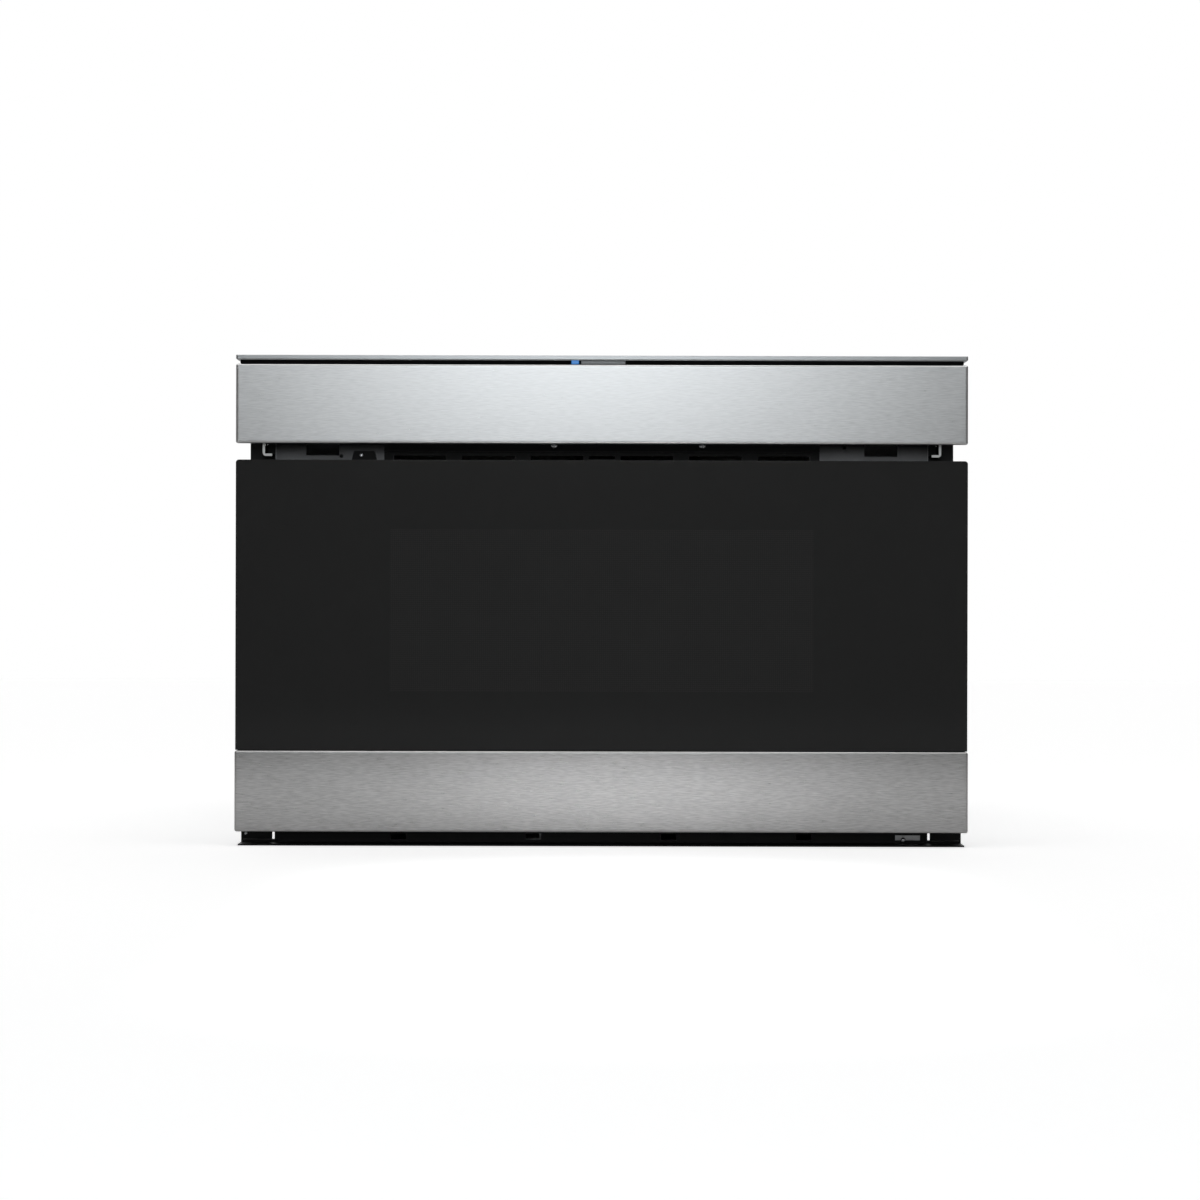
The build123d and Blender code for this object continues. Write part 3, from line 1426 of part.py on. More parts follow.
tube_y = cavity_back + magnetron_offset
guide_end = tube_y + tube_plate_depth / 2 + guide_lap
guide_y0 = stirrer_y - guide_front_reach
guide_half = guide_width / 2
with BuildPart() as waveguide:
    with BuildSketch(Plane.XY.offset(cavity_top)):
        slab(-guide_half, guide_half, guide_y0, guide_end)
    extrude(amount=guide_height)
    offset(amount=-guide_sheet, openings=waveguide.faces().sort_by(Axis.Z)[0])
    # floor over the magnetron, and welding flanges along the cavity
    prism(-guide_half, guide_half, cavity_back, guide_end, cavity_top, cavity_top + guide_sheet)
    for side, sign in sides:
        edge = sign * (guide_half + guide_flange)
        prism(sign * guide_half, edge, guide_y0, cavity_back, cavity_top, cavity_top + guide_sheet)
    with BuildSketch(Plane.XY.offset(cavity_top)):
        with Locations((0, tube_y)):
            RegularPolygon(antenna_radius + antenna_gap, round_sides)
    extrude(amount=guide_sheet, mode=Mode.SUBTRACT)
    with BuildSketch(Plane.XY.offset(cavity_top + guide_height - guide_sheet)):
        with Locations((0, stirrer_y)):
            RegularPolygon(stirrer_shaft_radius + 1, round_sides)
    extrude(amount=guide_sheet, mode=Mode.SUBTRACT)
keep(waveguide, "waveguide")

yoke_top = cavity_top - tube_plate
yoke_z0 = yoke_top - yoke_height
with BuildPart() as magnetron:
    # mounting plate and yoke, open at its sides
    with Locations((0, tube_y, cavity_top - tube_plate / 2)):
        Box(tube_plate_width, tube_plate_depth, tube_plate)
    with Locations((0, tube_y, (yoke_z0 + yoke_top) / 2)):
        Box(yoke_width, yoke_depth, yoke_height)
        Box(yoke_width, yoke_depth - 2 * yoke_sheet, yoke_height - 2 * yoke_sheet, mode=Mode.SUBTRACT)
    # anode, its fins, and the aerial that stands in the wave guide
    with BuildSketch(Plane.XY.offset(yoke_z0 + yoke_sheet)):
        with Locations((0, tube_y)):
            RegularPolygon(anode_radius, round_sides)
    extrude(amount=yoke_height - 2 * yoke_sheet)
    with Locations((0, tube_y, (yoke_z0 + yoke_top) / 2)):
        for fin in range(fins):
            with Locations((0, 0, (fin - (fins - 1) / 2) * fin_pitch)):
                Box(yoke_width - 2, yoke_depth - 2 * yoke_sheet, fin_sheet)
    with BuildSketch(Plane.XY.offset(cavity_top)):
        with Locations((0, tube_y)):
            RegularPolygon(antenna_radius, round_sides)
    extrude(amount=antenna_height)
    chamfer(magnetron.faces().sort_by(Axis.Z)[-1].edges(), antenna_radius / 3)
    # filter box on the underside
    with Locations((-(yoke_width - filter_box_width) / 2, tube_y, yoke_z0 - filter_box_height / 2)):
        Box(filter_box_width, filter_box_depth, filter_box_height)
keep(magnetron, "magnetron")

blade_z = cavity_ceiling - stirrer_drop - stirrer_sheet
shaft_top = cavity_top + guide_height + stirrer_motor_height / 2
with BuildPart() as stirrer_fan:
    with BuildSketch(Plane.XY.offset(blade_z)):
        with Locations((0, stirrer_y)):
            RegularPolygon(stirrer_hub_radius, 2 * round_sides)
            with PolarLocations(stirrer_radius / 2, stirrer_blades):
                Rectangle(stirrer_radius, stirrer_blade_width)
            with PolarLocations((stirrer_hub_radius + stirrer_radius) / 2, stirrer_blades):
                Rectangle(stirrer_slot_length, stirrer_slot_width, mode=Mode.SUBTRACT)
    extrude(amount=stirrer_sheet)
    with BuildSketch(Plane.XY.offset(blade_z)):
        with Locations((0, stirrer_y)):
            Circle(stirrer_shaft_radius)
    extrude(amount=shaft_top - blade_z)
keep(stirrer_fan, "stirrer_fan")

with BuildPart() as stirrer_motor:
    with BuildSketch(Plane.XY.offset(cavity_top + guide_height)):
        with Locations((0, stirrer_y)):
            RegularPolygon(stirrer_motor_radius, 2 * round_sides)
            Circle(stirrer_shaft_radius + stirrer_gap, mode=Mode.SUBTRACT)
    extrude(amount=stirrer_motor_height / 2 + 1)
    with BuildSketch(Plane.XY.offset(cavity_top + guide_height + stirrer_motor_height / 2 + 1)):
        with Locations((0, stirrer_y)):
            RegularPolygon(stirrer_motor_radius, 2 * round_sides)
    extrude(amount=stirrer_motor_height / 2 - 1)
    # fixing ears
    with BuildSketch(Plane.XY.offset(cavity_top + guide_height)):
        with Locations((0, stirrer_y)):
            with PolarLocations(stirrer_motor_radius, 2):
                Rectangle(2 * motor_ear, motor_ear)
            RegularPolygon(stirrer_motor_radius, 2 * round_sides, mode=Mode.SUBTRACT)
    extrude(amount=motor_ear_sheet)
keep(stirrer_motor, "stirrer_motor")

with BuildPart() as stirrer_cover:
    with BuildSketch(Plane.XY.offset(cavity_ceiling - stirrer_cover_drop)):
        with Locations((0, stirrer_y)):
            Rectangle(stirrer_cover_side, stirrer_cover_side)
    extrude(amount=stirrer_cover_drop, taper=stirrer_cover_taper)
    offset(amount=-stirrer_cover_wall, openings=stirrer_cover.faces().sort_by(Axis.Z)[-1])
keep(stirrer_cover, "stirrer_cover")

# ---------------------------------------------------------------- cooling fan

fan_y0 = rear_inner - fan_frame_depth
frame_side = fan_frame / 2
motor_back = fan_motor_length / 2
with BuildPart() as fan_housing:
    with BuildSketch(facing(fan_y0)):
        with Locations((fan_x, fan_z)):
            Rectangle(fan_frame, fan_frame)
            RegularPolygon(fan_bore, 3 * round_sides, mode=Mode.SUBTRACT)
    extrude(amount=-fan_frame_depth)
    # a spider of struts carries the motor, bored from behind for the impeller's shaft
    with BuildSketch(facing(fan_y0)):
        with Locations((fan_x, fan_z)):
            with PolarLocations(0, 4, start_angle=45):
                Rectangle(2 * fan_bore + fan_strut, fan_strut)
    extrude(amount=-fan_strut_depth)
    with BuildSketch(facing(fan_y0 - fan_motor_length)):
        with Locations((fan_x, fan_z)):
            RegularPolygon(fan_motor_radius, 2 * round_sides)
    extrude(amount=-fan_motor_length)
    with BuildSketch(facing(fan_y0 - motor_back)):
        with Locations((fan_x, fan_z)):
            Circle(fan_shaft_radius + fan_shaft_gap)
    extrude(amount=-(motor_back + fan_strut_depth), mode=Mode.SUBTRACT)
keep(fan_housing, "fan_housing")

hub_y0 = fan_y0 + fan_hub_setback
hub_middle = hub_y0 + fan_hub_depth / 2
with BuildPart() as fan_impeller:
    with BuildSketch(facing(hub_y0)):
        with Locations((fan_x, fan_z)):
            RegularPolygon(fan_hub_radius, 2 * round_sides)
    extrude(amount=-fan_hub_depth)
    shaft_y0 = fan_y0 - fan_motor_length / 2 + fan_shaft_end
    with BuildSketch(facing(shaft_y0)):
        with Locations((fan_x, fan_z)):
            Circle(fan_shaft_radius)
    extrude(amount=shaft_y0 - hub_y0)
    # flat blades, pitched, with the trailing edge swept wider towards the tip
    pitch = radians(blade_pitch)
    for blade in range(fan_blades):
        turn = 2 * pi * blade / fan_blades
        outward = Vector(cos(turn), 0, sin(turn))
        chordwise = Vector(-sin(turn), 0, cos(turn)) * cos(pitch) + Vector(0, 1, 0) * sin(pitch)
        hub_centre = Vector(fan_x, hub_middle, fan_z)
        with BuildSketch(Plane(origin=hub_centre, x_dir=outward, z_dir=outward.cross(chordwise))):
            with BuildLine():
                Polyline(
                    (fan_hub_radius - blade_thickness, -blade_root_chord / 2),
                    (fan_blade_radius, -blade_root_chord / 2),
                    (fan_blade_radius, blade_tip_chord - blade_root_chord / 2),
                    (fan_hub_radius - blade_thickness, blade_root_chord / 2),
                    close=True,
                )
            make_face()
        extrude(amount=blade_thickness / 2, both=True)
keep(fan_impeller, "fan_impeller")

exhaust_half = grille_half - grille_lap
exhaust_z0 = cavity_top + cavity_flange + 1
exhaust_y1 = plate_back + exhaust_depth
with BuildPart() as air_ducts:
    # from the fan to the magnetron
    duct_z0, duct_z1 = fan_z - frame_side, fan_z + frame_side
    prism(duct_x0, fan_x + frame_side, cavity_back + duct_gap, fan_y0, duct_z0, duct_z1)
    offset(
        amount=-duct_wall,
        openings=[air_ducts.faces().sort_by(Axis.X)[0], air_ducts.faces().sort_by(Axis.Y)[-1]],
    )
    # over the cavity, a trough under the top cover leads the spent air to the front grille
    prism(-exhaust_half, exhaust_half, plate_back, exhaust_y1, exhaust_z0, exhaust_z0 + duct_wall)
    prism(-exhaust_half, exhaust_half, plate_back, plate_back + duct_wall, exhaust_z0, grille_slot_z0)
    for side, sign in sides:
        wall_x = sign * (exhaust_half - duct_wall)
        prism(wall_x, sign * exhaust_half, plate_back, exhaust_y1, exhaust_z0, case_top - case_sheet - seam)
keep(air_ducts, "air_ducts")

# ---------------------------------------------------------------- power supply and boards

core_y = cavity_back + transformer_setback
window_z = case_sheet + core_height / 2
with BuildPart() as transformer:
    # laminated core with two windows, on feet
    with BuildSketch(facing(core_y - core_depth / 2)):
        with Locations((transformer_x, window_z)):
            Rectangle(core_width, core_height)
            with GridLocations(core_window_pitch, 1, 2, 1):
                Rectangle(core_window_width, core_window_height, mode=Mode.SUBTRACT)
    extrude(amount=-core_depth)
    with Locations((transformer_x, core_y, case_sheet + foot_sheet / 2)):
        Box(foot_width, foot_depth, foot_sheet)
    # the winding goes round the middle limb, through both windows
    limb = core_window_pitch - core_window_width
    coil_width = core_window_pitch + core_window_width - 2 * coil_gap
    with BuildSketch(Plane.XY.offset(window_z - coil_height / 2)):
        with Locations((transformer_x, core_y)):
            Rectangle(coil_width, core_depth + 2 * coil_overhang)
            Rectangle(limb, core_depth, mode=Mode.SUBTRACT)
    extrude(amount=coil_height)
keep(transformer, "transformer")

with BuildPart() as capacitor:
    with BuildSketch(Plane.XY.offset(case_sheet)):
        with Locations((capacitor_x, cavity_back + capacitor_setback)):
            SlotOverall(capacitor_length, capacitor_width, rotation=90)
    extrude(amount=capacitor_height)
    with Locations((capacitor_x, cavity_back + capacitor_setback, case_sheet + capacitor_height)):
        with GridLocations(1, terminal_pitch, 1, 2):
            Box(terminal_width, terminal_sheet, 2 * terminal_height)
keep(capacitor, "capacitor")

board_z = cavity_top + power_board_rise
board_top = board_z + board_thickness
with BuildPart() as power_board:
    with Locations((power_board_x, stirrer_y, board_z + board_thickness / 2)):
        Box(power_board_width, power_board_length, board_thickness)
    with Locations((power_board_x, stirrer_y, (cavity_top + board_z) / 2)):
        stand_x = power_board_width - 2 * standoff_inset
        stand_y = power_board_length - 2 * standoff_inset
        with GridLocations(stand_x, stand_y, 2, 2):
            Box(standoff, standoff, power_board_rise)
    # relays along the left, the supply's transformer and a finned heat sink on the right, plugs at the back
    relay_x = power_board_x - power_board_width / 4
    with Locations((relay_x, stirrer_y - relay_pitch, board_top + relay_height / 2)):
        with GridLocations(1, relay_pitch, 1, relays):
            Box(relay_width, relay_length, relay_height)
    supply_y = stirrer_y - power_board_length / 4
    with Locations((power_board_x + power_board_width / 4, supply_y, board_top + supply_height / 2)):
        Box(supply_width, supply_length, supply_height)
    with Locations((power_board_x + power_board_width / 5, stirrer_y + sink_length / 2, board_top)):
        with Locations((0, 0, sink_fin_sheet / 2)):
            Box(sink_fin_pitch * (sink_fins - 1) + sink_fin_sheet, sink_length, sink_fin_sheet)
        with Locations((0, 0, sink_height / 2)):
            with GridLocations(sink_fin_pitch, 1, sink_fins, 1):
                Box(sink_fin_sheet, sink_length, sink_height)
    plug_y = stirrer_y + power_board_length / 2 - standoff_inset - plug_length
    with Locations((power_board_x, plug_y, board_top + plug_height / 2)):
        with GridLocations(plug_pitch, 1, plugs, 1):
            Box(plug_width, plug_length, plug_height)
keep(power_board, "power_board")

lamp_x = cavity_half + cavity_sheet
with BuildPart() as oven_lamp:
    # a hood over the slots, with the bulb hanging from its socket
    with Locations((lamp_x + lamp_depth / 2, lamp_y, lamp_z)):
        Box(lamp_depth, lamp_width, lamp_height)
    offset(amount=-lamp_wall, openings=oven_lamp.faces().sort_by(Axis.X)[0])
    socket_z = lamp_z + lamp_height / 2 - lamp_wall
    with BuildSketch(Plane.XY.offset(socket_z)):
        with Locations((lamp_x + lamp_depth / 2, lamp_y)):
            RegularPolygon(lamp_socket_radius, round_sides)
    extrude(amount=-lamp_socket_length)
    with BuildSketch(Plane.XY.offset(socket_z - lamp_socket_length)):
        with Locations((lamp_x + lamp_depth / 2, lamp_y)):
            RegularPolygon(bulb_radius, round_sides)
    bulb = extrude(amount=-bulb_length)
    chamfer(bulb.faces().sort_by(Axis.Z)[0].edges(), bulb_chamfer)
keep(oven_lamp, "oven_lamp")
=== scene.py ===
# %% [markdown]
# A built-in microwave drawer: black glass over a stainless strip, with a stainless control flap above
# them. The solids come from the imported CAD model. This lesson gives them their finishes, and adds the
# small pieces that a CAD model leaves out: screws, rounded sheet edges, and the marks on the touch
# glass. Everything is in metres, and the front faces -Y.

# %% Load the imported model
import json

import bpy
import numpy as np
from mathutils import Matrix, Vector


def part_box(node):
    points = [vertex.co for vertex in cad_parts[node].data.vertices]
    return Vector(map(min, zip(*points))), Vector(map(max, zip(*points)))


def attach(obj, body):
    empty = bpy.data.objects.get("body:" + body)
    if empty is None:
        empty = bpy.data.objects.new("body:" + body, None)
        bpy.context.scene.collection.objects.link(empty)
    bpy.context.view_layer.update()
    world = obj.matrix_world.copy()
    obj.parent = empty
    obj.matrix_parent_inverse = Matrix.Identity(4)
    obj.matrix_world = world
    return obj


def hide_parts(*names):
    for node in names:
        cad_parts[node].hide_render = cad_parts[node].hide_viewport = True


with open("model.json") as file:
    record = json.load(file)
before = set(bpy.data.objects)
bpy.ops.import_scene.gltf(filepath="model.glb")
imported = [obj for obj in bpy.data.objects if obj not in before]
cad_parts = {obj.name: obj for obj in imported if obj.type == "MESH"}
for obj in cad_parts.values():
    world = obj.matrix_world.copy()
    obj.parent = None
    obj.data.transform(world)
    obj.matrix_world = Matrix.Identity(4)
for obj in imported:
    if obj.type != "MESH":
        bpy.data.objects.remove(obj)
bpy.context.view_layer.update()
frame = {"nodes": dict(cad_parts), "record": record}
nodes = frame["nodes"]
MM = 0.001

# %% [markdown]
# The photograph is a straight view of the front from about three metres with a long lens, at half the
# object's height, so neither the sides nor the top show. The picture leans by a seventh of a degree.

# %% The camera
FRONT_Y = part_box("lower_fascia")[0].y
CAMERA_DISTANCE = 3.0
CAMERA_HEIGHT = 0.204
CAMERA_X = -0.0013
VIEW_WIDTH = 0.991  # metres across the picture, at the front
ROLL = np.radians(-0.14)

camera_data = bpy.data.cameras.new("camera")
camera_data.sensor_width = 36.0
camera_data.lens = camera_data.sensor_width * CAMERA_DISTANCE / VIEW_WIDTH
camera = bpy.data.objects.new("camera", camera_data)
camera.location = (CAMERA_X, FRONT_Y - CAMERA_DISTANCE, CAMERA_HEIGHT)
camera.rotation_euler = (np.pi / 2, ROLL, 0)
bpy.context.scene.collection.objects.link(camera)
bpy.context.scene.camera = camera
print("lens", round(camera_data.lens, 1), "mm")

# %% [markdown]
# A mesh comes from whole numpy arrays: points of shape (n, 3) and faces as rows of point numbers. The
# same few lines serve every new piece, so they stand here once. A piece's place is in its points.

# %% From arrays to an object
def add_piece(name, points, faces, smooth=True, sharp=None):
    """An object at the origin, from an array of points and a list of faces. Edges that turn by more than
    sharp degrees are kept crisp."""
    mesh = bpy.data.meshes.new(name)
    corners = np.asarray(points, float).reshape(-1, 3).tolist()
    mesh.from_pydata(corners, [], [list(map(int, face)) for face in faces])
    mesh.validate()
    mesh.polygons.foreach_set("use_smooth", np.full(len(mesh.polygons), smooth))
    if sharp:
        mesh.set_sharp_from_angle(angle=np.radians(sharp))
    piece = bpy.data.objects.new(name, mesh)
    bpy.context.scene.collection.objects.link(piece)
    return piece


# %% [markdown]
# Finishes are node materials. Patterns that more than one finish uses, such as grain, are node groups
# that give out masks and heights, and the shader itself stays in the material.

# %% Node helpers
def link(tree, a, b):
    """Joins an output socket to an input socket."""
    tree.links.new(a, b)


def math_node(tree, operation, a, b=None, clamp=False):
    """A Math node on numbers or sockets; gives its output."""
    node = tree.nodes.new("ShaderNodeMath")
    node.operation = operation
    node.use_clamp = clamp
    for socket, value in zip(node.inputs, (a, b)):
        if value is None:
            continue
        if isinstance(value, (int, float)):
            socket.default_value = value
        else:
            link(tree, value, socket)
    return node.outputs[0]


def new_group(name, inputs, outputs):
    """An empty shader group with float inputs (name, value), and outputs that are floats."""
    group = bpy.data.node_groups.new(name, "ShaderNodeTree")
    for label, value in inputs:
        socket = group.interface.new_socket(label, in_out="INPUT", socket_type="NodeSocketFloat")
        socket.default_value = value
    for label in outputs:
        group.interface.new_socket(label, in_out="OUTPUT", socket_type="NodeSocketFloat")
    start = group.nodes.new("NodeGroupInput")
    end = group.nodes.new("NodeGroupOutput")
    return group, start.outputs, end.inputs


def stretched_noise(tree, stretch, scale, detail=2.0, roughness=0.5):
    """Noise on Object coordinates that are first multiplied by stretch; scale is a number or a socket."""
    coordinates = tree.nodes.new("ShaderNodeTexCoord")
    mapping = tree.nodes.new("ShaderNodeMapping")
    mapping.inputs["Scale"].default_value = stretch
    link(tree, coordinates.outputs["Object"], mapping.inputs["Vector"])
    noise = tree.nodes.new("ShaderNodeTexNoise")
    noise.inputs["Detail"].default_value = detail
    noise.inputs["Roughness"].default_value = roughness
    link(tree, mapping.outputs["Vector"], noise.inputs["Vector"])
    if isinstance(scale, (int, float)):
        noise.inputs["Scale"].default_value = scale
    else:
        link(tree, scale, noise.inputs["Scale"])
    return noise.outputs["Fac"]


# %% [markdown]
# Stainless sheet is brushed along its length. A picture of brushing would repeat and blur, and cut
# scratches would be heavy. Noise that is drawn out along X gives streaks of any fineness, and a much
# broader noise under them gives the slow change from one part of a sheet to another.

# %% Grain group: the streaks of brushed sheet
DRAWN_OUT = (0.07, 1.0, 1.0)
BROAD = (0.01, 0.02, 0.02)
STREAK_SHARE = 0.9
grain, grain_in, grain_out = new_group(
    "brushed_grain", [("Lines", 1100.0), ("Depth", 0.5)], ["Streak", "Height"]
)
streak = stretched_noise(grain, DRAWN_OUT, grain_in["Lines"], 1.0, 0.5)
cloud = stretched_noise(grain, BROAD, grain_in["Lines"], 1.0, 0.5)
fine = math_node(grain, "MULTIPLY", streak, STREAK_SHARE)
slow = math_node(grain, "MULTIPLY", cloud, 1 - STREAK_SHARE)
centred = math_node(grain, "SUBTRACT", math_node(grain, "ADD", fine, slow), 0.5)
link(grain, math_node(grain, "MULTIPLY", centred, grain_in["Depth"]), grain_out["Streak"])
link(grain, streak, grain_out["Height"])
print(grain.name, len(grain.nodes), "nodes")

# %% [markdown]
# Enamel, paint and moulded plastic are nearly even, with a fine mottle that breaks up their gloss.
# Plain noise serves for all of them, at a size that each finish gives.

# %% Speckle group: small mottling
speckle, speckle_in, speckle_out = new_group(
    "speckle", [("Size", 900.0), ("Depth", 0.5)], ["Mottle", "Height"]
)
mottle = stretched_noise(speckle, (1, 1, 1), speckle_in["Size"], 3.0, 0.6)
centred = math_node(speckle, "SUBTRACT", mottle, 0.5)
link(speckle, math_node(speckle, "MULTIPLY", centred, speckle_in["Depth"]), speckle_out["Mottle"])
link(speckle, mottle, speckle_out["Height"])
print(speckle.name, len(speckle.nodes), "nodes")

# %% [markdown]
# Galvanised sheet shows the crystals of its zinc, flat patches that each mirror a little differently. A
# Voronoi texture gives every patch one value, and some soft noise keeps the patches from looking cut
# out of paper.

# %% Spangle group: the crystals of zinc
PATCH_SHARE = 0.6
CLOUD_SIZE = 40.0
spangle, spangle_in, spangle_out = new_group(
    "spangle", [("Size", 110.0), ("Depth", 0.5)], ["Crystal", "Height"]
)
cells = spangle.nodes.new("ShaderNodeTexVoronoi")
link(spangle, spangle.nodes.new("ShaderNodeTexCoord").outputs["Object"], cells.inputs["Vector"])
link(spangle, spangle_in["Size"], cells.inputs["Scale"])
crystal = spangle.nodes.new("ShaderNodeSeparateColor")
link(spangle, cells.outputs["Color"], crystal.inputs["Color"])
cloudy = math_node(spangle, "MULTIPLY", stretched_noise(spangle, (1, 1, 1), CLOUD_SIZE), 1 - PATCH_SHARE)
patches = math_node(spangle, "MULTIPLY", crystal.outputs["Red"], PATCH_SHARE)
softened = math_node(spangle, "ADD", patches, cloudy)
centred = math_node(spangle, "SUBTRACT", softened, 0.5)
link(spangle, math_node(spangle, "MULTIPLY", centred, spangle_in["Depth"]), spangle_out["Crystal"])
link(spangle, softened, spangle_out["Height"])
print(spangle.name, len(spangle.nodes), "nodes")

# %% [markdown]
# Every finish is a Principled shader with a colour, a roughness and one of those patterns, so one
# function builds them all. What is the same all over a surface is set on the shader's own sockets.

# %% A finish from a base colour and a pattern
BUMP_HEIGHT = 0.2 * MM


def brushed(lines, depth):
    """The grain group with its settings."""
    return grain, {"Lines": lines, "Depth": depth}


def specks(size, depth):
    """The speckle group with its settings."""
    return speckle, {"Size": size, "Depth": depth}


def crystals(size, depth):
    """The spangle group with its settings."""
    return spangle, {"Size": size, "Depth": depth}


def finish(name, colour, rough, metallic=0.0, pattern=None, tint=0.0, swing=0.0, bump=0.0, **plain):
    """A material. The pattern's first output varies the colour by tint and the roughness by swing, and
    its Height makes the bump."""
    material = bpy.data.materials.new(name)
    material.use_nodes = True
    tree = material.node_tree
    shader = tree.nodes["Principled BSDF"]
    shader.inputs["Metallic"].default_value = metallic
    shader.inputs["Base Color"].default_value = (*colour, 1)
    shader.inputs["Roughness"].default_value = rough
    for socket, value in plain.items():
        shader.inputs[socket.replace("_", " ")].default_value = value
    if not pattern:
        return material
    group, settings = pattern
    node = tree.nodes.new("ShaderNodeGroup")
    node.node_tree = group
    for socket, value in settings.items():
        node.inputs[socket].default_value = value
    wave = node.outputs[0]
    if tint:
        mix = tree.nodes.new("ShaderNodeMix")
        mix.data_type = "RGBA"
        mix.inputs["A"].default_value = (*[c * (1 - tint) for c in colour], 1)
        mix.inputs["B"].default_value = (*[min(1.0, c * (1 + tint)) for c in colour], 1)
        link(tree, math_node(tree, "ADD", wave, 0.5, clamp=True), mix.inputs["Factor"])
        link(tree, mix.outputs["Result"], shader.inputs["Base Color"])
    if swing:
        varied = math_node(tree, "ADD", math_node(tree, "MULTIPLY", wave, swing), rough, clamp=True)
        link(tree, varied, shader.inputs["Roughness"])
    if bump:
        bump_node = tree.nodes.new("ShaderNodeBump")
        bump_node.inputs["Strength"].default_value = bump
        bump_node.inputs["Distance"].default_value = BUMP_HEIGHT
        link(tree, node.outputs["Height"], bump_node.inputs["Height"])
        link(tree, bump_node.outputs["Normal"], shader.inputs["Normal"])
    return material


# %% [markdown]
# A brushed panel is never evenly bright: its sheen is strongest along one height and dims away from
# it, and a sheet set back in a gap darkens under the shadow of what hangs over it. Both are painted into
# the colour: painted sheen and painted shadow. The painted fade group gives it as a factor, 1 - depth *
# d^2, where d is the height over or under the brightest line, as a share of a half height.

# %% Painted fade group: painted sheen and shadow, dimming a panel away from one height
painted_fade, painted_fade_in, painted_fade_out = new_group("painted_fade", [("Centre", 0.0), ("Half", 0.05), ("Depth", 0.2)], ["Fade"])
split = painted_fade.nodes.new("ShaderNodeSeparateXYZ")
link(painted_fade, painted_fade.nodes.new("ShaderNodeTexCoord").outputs["Object"], split.inputs[0])
away = math_node(painted_fade, "SUBTRACT", split.outputs["Z"], painted_fade_in["Centre"])
share = math_node(painted_fade, "DIVIDE", away, painted_fade_in["Half"])
square = math_node(painted_fade, "MULTIPLY", share, share, clamp=True)
loss = math_node(painted_fade, "MULTIPLY", square, painted_fade_in["Depth"])
link(painted_fade, math_node(painted_fade, "SUBTRACT", 1.0, loss), painted_fade_out["Fade"])
print(painted_fade.name, len(painted_fade.nodes), "nodes")

# %% Dimming a finish
PAINTED_SHADE_SHARE = 0.02  # the share of its colour that the painted shade keeps


def dim_base(material, factor):
    """Multiplies the base colour of a patterned finish by a factor from 0 to 1."""
    tree = material.node_tree
    base = tree.nodes["Principled BSDF"].inputs["Base Color"]
    mix = tree.nodes.new("ShaderNodeMix")
    mix.data_type = "RGBA"
    mix.inputs["A"].default_value = (0, 0, 0, 1)
    link(tree, base.links[0].from_socket, mix.inputs["B"])
    link(tree, factor, mix.inputs["Factor"])
    link(tree, mix.outputs["Result"], base)


def add_painted_fade(material, centre, half, depth):
    """Dims a finish by the painted fade group: painted sheen, or painted shadow."""
    node = material.node_tree.nodes.new("ShaderNodeGroup")
    node.node_tree = painted_fade
    for socket, value in (("Centre", centre), ("Half", half), ("Depth", depth)):
        node.inputs[socket].default_value = value
    dim_base(material, node.outputs["Fade"])


def add_painted_shade_behind_edge(material, edge_y):
    """Paints shade on a finish behind a depth: there the colour is painted near black and not metallic,
    painted shade, so only the sheared edge in front shows as lit metal.
    """
    tree = material.node_tree
    place = tree.nodes.new("ShaderNodeSeparateXYZ")
    link(tree, tree.nodes.new("ShaderNodeTexCoord").outputs["Object"], place.inputs[0])
    lit_edge = math_node(tree, "LESS_THAN", place.outputs["Y"], edge_y)
    dim_base(material, math_node(tree, "MAXIMUM", lit_edge, PAINTED_SHADE_SHARE))
    link(tree, lit_edge, tree.nodes["Principled BSDF"].inputs["Metallic"])


# %% [markdown]
# The window behind the black glass shows as a field of dots, a little paler than the print round it. As
# faces they would be tens of thousands, so the material works them out: the place is divided by the
# pitch, and a disc is kept round the middle of each square. The same group serves the holes of the
# screen behind the window.

# %% Dot group: a field of round dots on a wall that faces the front
dots, dots_in, dots_out = new_group("dot_field", [("Pitch", 2.2 * MM), ("Radius", 0.3)], ["Dot"])
split = dots.nodes.new("ShaderNodeSeparateXYZ")
link(dots, dots.nodes.new("ShaderNodeTexCoord").outputs["Object"], split.inputs[0])


def off_centre(axis):
    """Squared distance from the middle of the square, along one axis, in pitches."""
    place = math_node(dots, "DIVIDE", split.outputs[axis], dots_in["Pitch"])
    share = math_node(dots, "SUBTRACT", math_node(dots, "FRACT", place), 0.5)
    return math_node(dots, "MULTIPLY", share, share)


distance = math_node(dots, "SQRT", math_node(dots, "ADD", off_centre("X"), off_centre("Z")))
link(dots, math_node(dots, "LESS_THAN", distance, dots_in["Radius"]), dots_out["Dot"])
print(dots.name, len(dots.nodes), "nodes")


